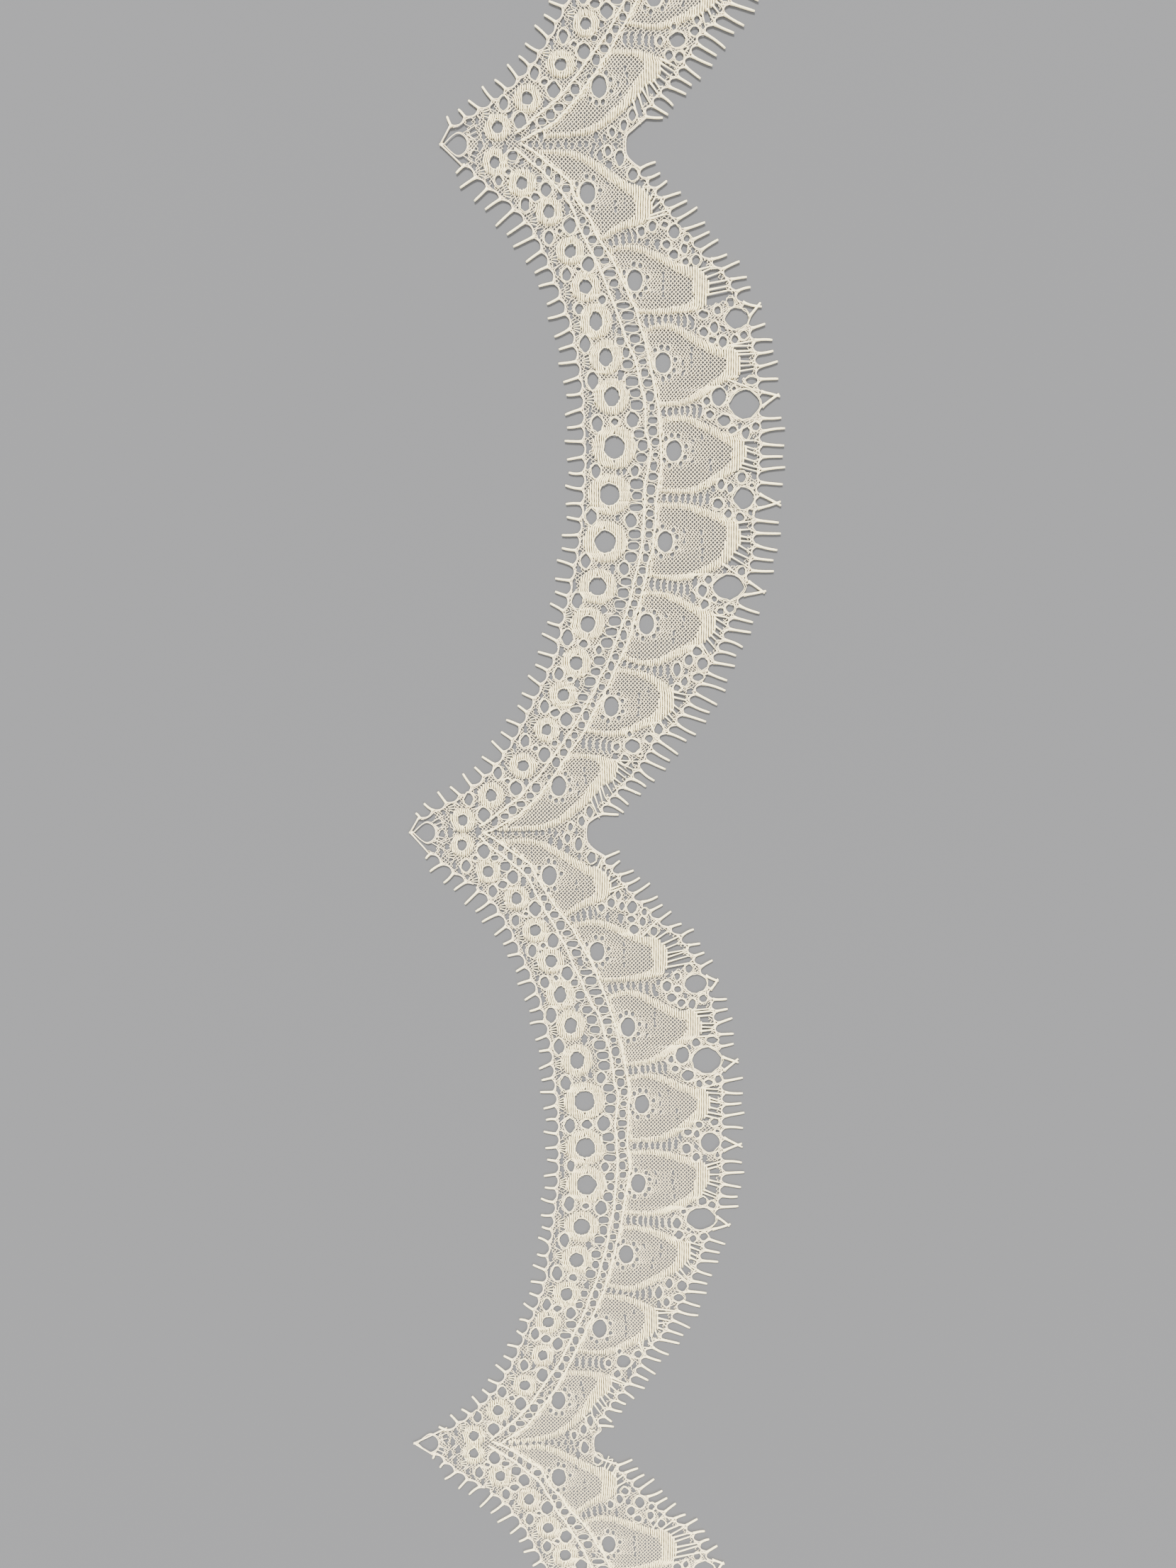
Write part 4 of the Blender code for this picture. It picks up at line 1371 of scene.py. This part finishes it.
class LACE_OT_loops(bpy.types.Operator):
    """Lay a loop of thread round each gap"""
    bl_idname = "lace.loops"
    bl_label = "Loops round the gaps"

    def execute(self, context):
        bundle = Bundle()
        draw = np.random.default_rng(SEEDS["loops"])
        for row in openwork():
            kind = NAMES[int(row[4])]
            if kind not in LOOP_HALVES:
                continue
            half = LOOP_HALVES[kind]
            count = next(corners for size, corners in LOOP_CORNERS if max(row[2], row[3]) > size)
            count = EYELET_CORNERS if kind == "eyelet" else count
            double = kind in ("gap", "leaf")
            size = LOOP_STRAY[0] if double or kind == "ring" else LOOP_STRAY[1]
            for grow in DOUBLE_LOOP if double else (SINGLE_LOOP * half,):
                loop = superellipse(row, grow, count)
                loop += draw.normal(0.0, size, loop.shape)
                bundle.add(loop, half, FLATNESS * half, LOOP_LEVEL, True)
        bundle.finish(CLOTH, cloth_finish())
        return {"FINISHED"}


# A thread that is cut off with the lace stops this far short of the cut end.
CUT_MARGIN = 0.15


def within_cuts(path):
    """Split a path into the parts that lie between the two cut ends."""
    kept = (path[:, 1] > BOTTOM + CUT_MARGIN) & (path[:, 1] < TOP - CUT_MARGIN)
    return [path[first:stop] for first, stop in runs(kept) if stop - first > 1]


# How many turns the two threads of a cord make in a millimetre.
CORD_TURNS = 0.55


def plied(bundle, path, half):
    """Lay two threads wound round each other along a path."""
    step = np.linalg.norm(np.diff(path, axis=0), axis=1)
    length = np.concatenate([[0.0], np.cumsum(step)])
    along = np.gradient(path, axis=0)
    along /= np.maximum(np.linalg.norm(along, axis=1), 1e-9)[:, None]
    across = np.stack([-along[:, 1], along[:, 0]], axis=1)
    for sign in (-1.0, 1.0):
        turn = 2.0 * math.pi * CORD_TURNS * length + (0.0 if sign > 0 else math.pi)
        level_at = CORD_LEVEL + 0.6 * half * np.sin(turn)
        bundle.add(path + across * (half * np.cos(turn))[:, None], half, half, level_at)


def path_along(repeat, table, first, last, column=1, step=0.3):
    """Return a path along one line of the pattern."""
    middle = float(level(table, 0.5, column))
    count = max(3, int((last - first) / along_per_mm(repeat, middle) / step))
    along = np.linspace(first, last, count)
    return along, level(table, along, column)


# From where to where along a repeat its cords run, how many places each strays at,
# and how far.
CORD_RUN = (0.03, 0.965)
CORD_STRAYS = 60
CORD_STRAY = 0.08
# Each of a cord's two threads is this wide, against the cord.
CORD_PLY = 0.55


class LACE_OT_cords(bpy.types.Operator):
    """Lay the two cords between the rings and the petals"""
    bl_idname = "lace.cords"
    bl_label = "Cords"

    def execute(self, context):
        half = 0.5 * settings().cord_width / MM
        bundle = Bundle(4)
        draw = np.random.default_rng(SEEDS["cords"])
        for repeat in range(len(REPEATS)):
            for table in (RING_CORD, BASE_CORD):
                along, out = path_along(repeat, table, *CORD_RUN)
                strays = draw.normal(0.0, CORD_STRAY, CORD_STRAYS + 2)
                out = out + np.interp(along * CORD_STRAYS, np.arange(CORD_STRAYS + 2), strays)
                for path in within_cuts(place(repeat, along, out)):
                    plied(bundle, path, CORD_PLY * half)
        bundle.finish("cords", cloth_finish())
        return {"FINISHED"}


# Beyond a petal's crown the ground is closed only this far in from the scalloped edge.
BAND = 0.8
# The bands of fine threads along both edges: from where to where along, and how wide.
SCALLOP_BAND = (0.108, 0.876, 0.6)
HEADING_BAND = (-0.02, 1.02, 0.5)
# Half the width of a band's outer and inner line.
BAND_HALVES = (0.09, 0.06)


def shares_out(points, rows):
    """Return how far out of each gap each point lies, where 1 is the gap's edge."""
    offset = points[:, None, :] - rows[None, :, :2]
    return np.hypot(offset[..., 0] / (0.5 * rows[:, 2]), offset[..., 1] / (0.5 * rows[:, 3]))


def tip_edges(corner):
    """Return the two straight edges that meet at a pointed tip of the heading."""
    height, x, _ = CORNERS[corner]
    tip = np.array([x + 0.2, height])
    return (heading_threads(corner)[-1][1], tip), (heading_threads(corner + 1)[0][1], tip)


def outside_gaps(path):
    """Split a path into the parts that cross no gap."""
    rows = openwork()
    low, high = path.min(axis=0) - 3.0, path.max(axis=0) + 3.0
    rows = rows[((rows[:, :2] > low) & (rows[:, :2] < high)).all(axis=1)]
    rows = rows[rows[:, 4] != KINDS["small"]]
    if not len(rows):
        return [path]
    kept = (shares_out(path, rows) > 1.02).all(axis=1)
    return [path[first:stop] for first, stop in runs(kept) if stop - first > 1]


def edge_lines(repeat, table, first, last, depth, threads):
    """Return the outer and the inner line of an edge band, scooped between the clipped threads."""
    along, out = path_along(repeat, table, first, last)
    side = 1.0 if table[1][2] > table[1][1] else -1.0
    drawn = scoop(repeat, along, threads, SCALLOP_SCOOP if side > 0 else HEADING_SCOOP)
    outer = out - side * drawn
    inner = out - side * (depth + 0.4 * drawn)
    return along, outer, inner


def lay_within(bundle, repeat, along, out, half, at):
    """Lay a thread of the edge band, left out in the gaps and beyond the cut ends."""
    for path in within_cuts(place(repeat, along, out)):
        for part in outside_gaps(path):
            bundle.add(part, half, FLATNESS * half, at)


def lay_band(bundle, repeat, table, first, last, depth, threads):
    """Lay two lines along an edge, and two threads that sway from one to the other."""
    fine = 0.5 * settings().net_width / MM
    if threads:
        first = threads[0][0] if repeat > 0 else first
        last = threads[-1][0] if repeat < len(REPEATS) - 1 else last
    along, outer, inner = edge_lines(repeat, table, first, last, depth, threads)
    lay_within(bundle, repeat, along, outer, BAND_HALVES[0], LOOP_LEVEL)
    lay_within(bundle, repeat, along, inner, BAND_HALVES[1], LOOP_LEVEL)
    for phase in (0, 2):
        swing = 0.5 + 0.5 * np.sin(2.0 * math.pi * (np.arange(len(along)) + phase) / 4.0)
        lay_within(bundle, repeat, along, outer + (inner - outer) * swing, fine, 0.26)


# Half the width of a tip's straight bar from its root to its point.
TIP_HALVES = (0.2, 0.16, 0.15, 0.18)
# Half the open loop behind a pointed tip, from its point: in and aside.
TIP_HEM = ((0.7, 0.0), (1.9, 1.15), (2.8, 1.6), (3.7, 1.2), (4.15, 0.5), (4.2, -0.2))
# The rounded rim of a notch, out and up from its middle.
NOTCH_RIM = ((1.1, 2.2), (0.05, 1.1), (0.05, -1.3), (1.1, -2.6))


def lay_tip(bundle, corner):
    """Lay the bars and the open loop of a pointed tip, and the knot at its point."""
    height, x, _ = CORNERS[corner]
    for start, end in tip_edges(corner):
        share = np.linspace(0.0, 1.0, 4)[:, None]
        side = math.copysign(1.0, start[1] - height)
        bundle.add(start + (end - start) * share, np.array(TIP_HALVES), 0.15, EDGE_LEVEL)
        hem = np.array([(x + inward, height + aside * side) for inward, aside in TIP_HEM])
        hem = smooth_through(hem, 3)
        bundle.add(hem, 0.09, 0.08, EDGE_LEVEL)
        bundle.add(hem + np.array([0.15, 0.12 * side]), 0.07, 0.07, 0.31)
        for spread in (0.0, 1.0, 2.0):
            foot = np.array([x + TIP_DEPTH - 0.35 * spread, height + 0.55 * side + 0.5 * side * spread])
            head = np.array([x + 5.6, height + side * (0.9 + 0.95 * spread)])
            bundle.add(np.array([foot, 0.5 * (foot + head), head]), 0.08, 0.08, EDGE_LEVEL)
    knot = np.array([[x + 0.05, height], [x + 0.4, height], [x + 0.8, height]])
    bundle.add(knot, np.array([0.2, 0.3, 0.2]), 0.2, EDGE_LEVEL)


def lay_notch(bundle, corner):
    """Lay the two threads of a notch's rounded rim."""
    height, _, notch_x = CORNERS[corner]
    first, last = scallop_threads(corner)[-1][1], scallop_threads(corner + 1)[0][1]
    middle = [(notch_x + out, height + up) for out, up in NOTCH_RIM]
    rim = smooth_through(np.array([first, *middle, last]), 4)
    for inward, half in ((0.0, 0.13), (0.3, 0.08)):
        bundle.add(rim - np.array([inward, 0.0]), half, FLATNESS * half, EDGE_LEVEL)


class LACE_OT_edges(bpy.types.Operator):
    """Lay the narrow bands of net along the scalloped edge and the heading"""
    bl_idname = "lace.edges"
    bl_label = "Edge bands"

    def execute(self, context):
        bundle = Bundle()
        for repeat in range(len(REPEATS)):
            lay_band(bundle, repeat, SCALLOP_EDGE, *SCALLOP_BAND, scallop_threads(repeat))
            lay_band(bundle, repeat, HEADING_EDGE, *HEADING_BAND, heading_threads(repeat))
        for corner in range(len(CORNERS)):
            lay_tip(bundle, corner)
            lay_notch(bundle, corner)
        bundle.finish("edge_bands", net_finish())
        return {"FINISHED"}


def clear_of_gaps(points):
    """Return whether a short thread crosses no large gap."""
    rows = openwork()
    return bool((shares_out(points, rows[rows[:, 4] == KINDS["gap"]]) > 0.95).all())


# Bars from a petal's crown: how far apart they start, and the longest and shortest.
BAR_PITCH = 0.82
BAR_LENGTHS = (0.3, 4.8)
# Half a bar's width from its crown to its fork.
BAR_HALVES = (0.2, 0.15, 0.12, 0.13)
# A forked end spreads this far to each side, in mm.
FORK = 0.42


def lay_crown_bars(bundle, draw, repeat, number, outline):
    """Lay the forked bars that join a petal's crown to the edge band."""
    crown = outline[2 * PETAL_STEPS:6 * PETAL_STEPS + 1]
    length = np.concatenate([[0.0], np.cumsum(np.linalg.norm(np.diff(crown, axis=0), axis=1))])
    count = int(length[-1] / BAR_PITCH)
    edge = edge_of(repeat)
    first = shifted(repeat, PETALS[number][3][0]) - 0.011
    last = shifted(repeat, PETALS[number][5][0]) + 0.011
    for index in range(count + 1):
        share = np.clip((index + draw.uniform(-0.28, 0.28)) / count, 0.0, 1.0)
        start = np.array([np.interp(share * length[-1], length, crown[:, axis]) for axis in (0, 1)])
        along = first + (last - first) * (share + draw.uniform(-0.03, 0.03))
        reach = BAND + draw.uniform(-0.35, 0.15)
        fork = place(repeat, along, float(np.interp(along, *edge)) - reach)
        start = start - 0.25 * (fork - start) / max(np.linalg.norm(fork - start), 0.1)
        path = start + (fork - start) * np.linspace(0.0, 1.0, 4)[:, None]
        away = float(np.linalg.norm(fork - start))
        inside = BOTTOM + 0.4 < path[:, 1].min() and path[:, 1].max() < TOP - 0.4
        if not (BAR_LENGTHS[0] < away < BAR_LENGTHS[1] and inside and clear_of_gaps(path)):
            continue
        bundle.add(path, np.array(BAR_HALVES) * draw.uniform(0.75, 1.15), 0.12, LOOP_LEVEL)
        for side in (-1.0, 1.0):
            step = side * FORK * along_per_mm(repeat, 20.0)
            end = place(repeat, along + step, float(np.interp(along + step, *edge)) - 0.05)
            bundle.add(np.array([fork, 0.5 * (fork + end), end]), 0.085, 0.08, EDGE_LEVEL)


# How far apart the bars of a window stand, and half their width.
WINDOW_PITCH = 0.55
WINDOW_HALF = 0.075


def lay_window_bars(bundle, row):
    """Lay the bars that fan out from a ring across its window."""
    count = max(2, round(row[3] / WINDOW_PITCH))
    for index in range(count):
        height = row[1] + row[3] * ((index + 0.5) / count - 0.5)
        inward = row[1] + 0.45 * (height - row[1])
        ends = np.array([[row[0] - 0.62 * row[2], inward], [row[0] + 0.62 * row[2], height]])
        bundle.add(ends, WINDOW_HALF, WINDOW_HALF, EDGE_LEVEL)


class LACE_OT_brides(bpy.types.Operator):
    """Lay the short bars that join the petals' crowns to the edge, and the bars beside the rings"""
    bl_idname = "lace.brides"
    bl_label = "Bars"

    def execute(self, context):
        bundle = Bundle(4)
        draw = np.random.default_rng(SEEDS["bars"])
        for repeat, number, outline, _, _, _ in petals():
            lay_crown_bars(bundle, draw, repeat, number, outline)
        for row in openwork():
            if int(row[4]) == KINDS["window"]:
                lay_window_bars(bundle, row)
        bundle.finish(CLOTH, cloth_finish())
        return {"FINISHED"}


# Clipped ends lean together beside a gap that is at least this wide.
LEANING_GAP = 2.7
# The ends beside a notch point into it: from their roots, above and below it.
ABOVE_NOTCH = (2.3, -0.15)
BELOW_NOTCH = (2.1, 0.9)


def leaning_ends(repeat):
    """Return where clipped ends lean together or into a notch, by where they would end."""
    found = {}
    ends = scallop_threads(repeat)
    for along, _, width, _ in GAPS:
        middle = shifted(repeat, along)
        above = [thread for thread in ends if thread[0] < middle]
        below = [thread for thread in ends if thread[0] >= middle]
        if width < LEANING_GAP or not above or not below:
            continue
        upper, lower = above[-1][2], below[0][2]
        cross = 0.12 * (upper - lower)
        found[tuple(upper)] = 0.5 * (upper + lower) - cross
        found[tuple(lower)] = 0.5 * (upper + lower) + cross
    if repeat < len(CORNERS):
        found[tuple(ends[-1][2])] = ends[-1][1] + np.array(ABOVE_NOTCH)
    if repeat > 0:
        found[tuple(ends[0][2])] = ends[0][1] + np.array(BELOW_NOTCH)
    return found


# How thick a clipped thread is from its root to its end, against the cord's width.
CLIPPED_WIDTHS = (1.5, 1.05, 0.9, 0.92, 0.88, 0.88, 0.72)
# How far inside the net a clipped thread starts, and how far it bends.
CLIPPED_START = 0.35
CLIPPED_BEND = 0.06


class LACE_OT_clipped_threads(bpy.types.Operator):
    """Lay the clipped thread ends along both edges"""
    bl_idname = "lace.clipped_threads"
    bl_label = "Clipped threads"

    def execute(self, context):
        half = 0.5 * settings().cord_width / MM
        bundle = Bundle(5)
        draw = np.random.default_rng(SEEDS["clipped"])
        for repeat in range(len(REPEATS)):
            leaning = leaning_ends(repeat)
            for _, root, tip in scallop_threads(repeat) + heading_threads(repeat):
                tip = leaning.get(tuple(tip), tip)
                reach = tip - root
                length = float(np.linalg.norm(reach))
                aside = np.array([-reach[1], reach[0]]) / length
                start = root - reach / length * CLIPPED_START
                share = np.linspace(0.0, 1.0, len(CLIPPED_WIDTHS))
                bend = CLIPPED_BEND * draw.normal() * np.sin(share * math.pi)
                path = start + (tip - start) * share[:, None] + aside * bend[:, None]
                width = half * np.array(CLIPPED_WIDTHS)
                bundle.add(path, width, np.minimum(width, 0.2), CLIPPED_LEVEL)
        bundle.finish(CLOTH, cloth_finish())
        return {"FINISHED"}


# The camera stands where the photo was taken from, in metres.
CAMERA_PLACE = (-0.00053, 0.02547, 0.1827)
CAMERA_TILT = math.radians(5.71)
# The camera's sensor width and focal length, in mm.
SENSOR = 36.0
LENS = 27.05
# Lamps: name, place, strength and how wide they are in degrees.
LAMPS = (
    ("key_light", (-0.15, 0.9, 0.9), 14.0, 12.0),
    ("fill_light", (0.5, -0.6, 1.0), 3.2, 40.0),
)
SKY_STRENGTH = 2.0
FLOOR_SIZE = 6.0


class LACE_OT_stage(bpy.types.Operator):
    """Set the floor, the lights and the camera"""
    bl_idname = "lace.stage"
    bl_label = "Floor, lights and camera"

    def execute(self, context):
        bpy.ops.mesh.primitive_plane_add(size=FLOOR_SIZE, location=(0.0, 0.0, 0.0))
        floor = context.active_object
        floor.name = "floor"
        material = bpy.data.materials.new("plain_floor")
        material.use_nodes = True
        shader = material.node_tree.nodes["Principled BSDF"]
        shader.inputs["Base Color"].default_value = (*settings().floor_colour, 1.0)
        shader.inputs["Roughness"].default_value = 0.95
        floor.data.materials.append(material)
        floor.select_set(False)
        world = bpy.data.worlds.new("studio")
        world.use_nodes = True
        world.node_tree.nodes["Background"].inputs["Color"].default_value = (1.0, 1.0, 1.0, 1.0)
        world.node_tree.nodes["Background"].inputs["Strength"].default_value = SKY_STRENGTH
        context.scene.world = world
        for name, spot, strength, angle in LAMPS:
            lamp = bpy.data.lights.new(name, "SUN")
            lamp.energy = strength
            lamp.angle = math.radians(angle)
            holder = bpy.data.objects.new(name, lamp)
            holder.location = spot
            holder.rotation_euler = (-Vector(spot)).to_track_quat("-Z", "Y").to_euler()
            context.scene.collection.objects.link(holder)
        camera = bpy.data.objects.new("camera", bpy.data.cameras.new("camera"))
        camera.data.sensor_width = SENSOR
        camera.data.lens = LENS
        camera.data.clip_start = 0.01
        camera.location = CAMERA_PLACE
        camera.rotation_euler = (-CAMERA_TILT, 0.0, 0.0)
        context.scene.collection.objects.link(camera)
        context.scene.camera = camera
        return {"FINISHED"}


class LACE_PT_panel(bpy.types.Panel):
    bl_idname = "LACE_PT_panel"
    bl_label = "Lace edging"
    bl_space_type = "VIEW_3D"
    bl_region_type = "UI"
    bl_category = "Lace"

    def draw(self, context):
        for name in ("cloth_colour", "net_colour", "shade_colour", "floor_colour"):
            self.layout.prop(context.scene.lace_edging_settings, name)
        for name in ("net_width", "cord_width", "petal_pitch"):
            self.layout.prop(context.scene.lace_edging_settings, name)
        for operator in PIECES:
            self.layout.operator(operator.bl_idname)


PIECES = (
    LACE_OT_petal_nets,
    LACE_OT_ground,
    LACE_OT_petal_borders,
    LACE_OT_rings,
    LACE_OT_loops,
    LACE_OT_cords,
    LACE_OT_edges,
    LACE_OT_brides,
    LACE_OT_clipped_threads,
    LACE_OT_stage,
)
CLASSES = (LaceSettings, *PIECES, LACE_PT_panel)


def register():
    for item in CLASSES:
        bpy.utils.register_class(item)
    bpy.types.Scene.lace_edging_settings = bpy.props.PointerProperty(type=LaceSettings)


def unregister():
    del bpy.types.Scene.lace_edging_settings
    for item in reversed(CLASSES):
        bpy.utils.unregister_class(item)


def main():
    for item in bpy.context.selected_objects:
        item.select_set(False)
    register()
    for operator in PIECES:
        group, name = operator.bl_idname.split(".")
        getattr(getattr(bpy.ops, group), name)()


if __name__ == "__main__":
    main()
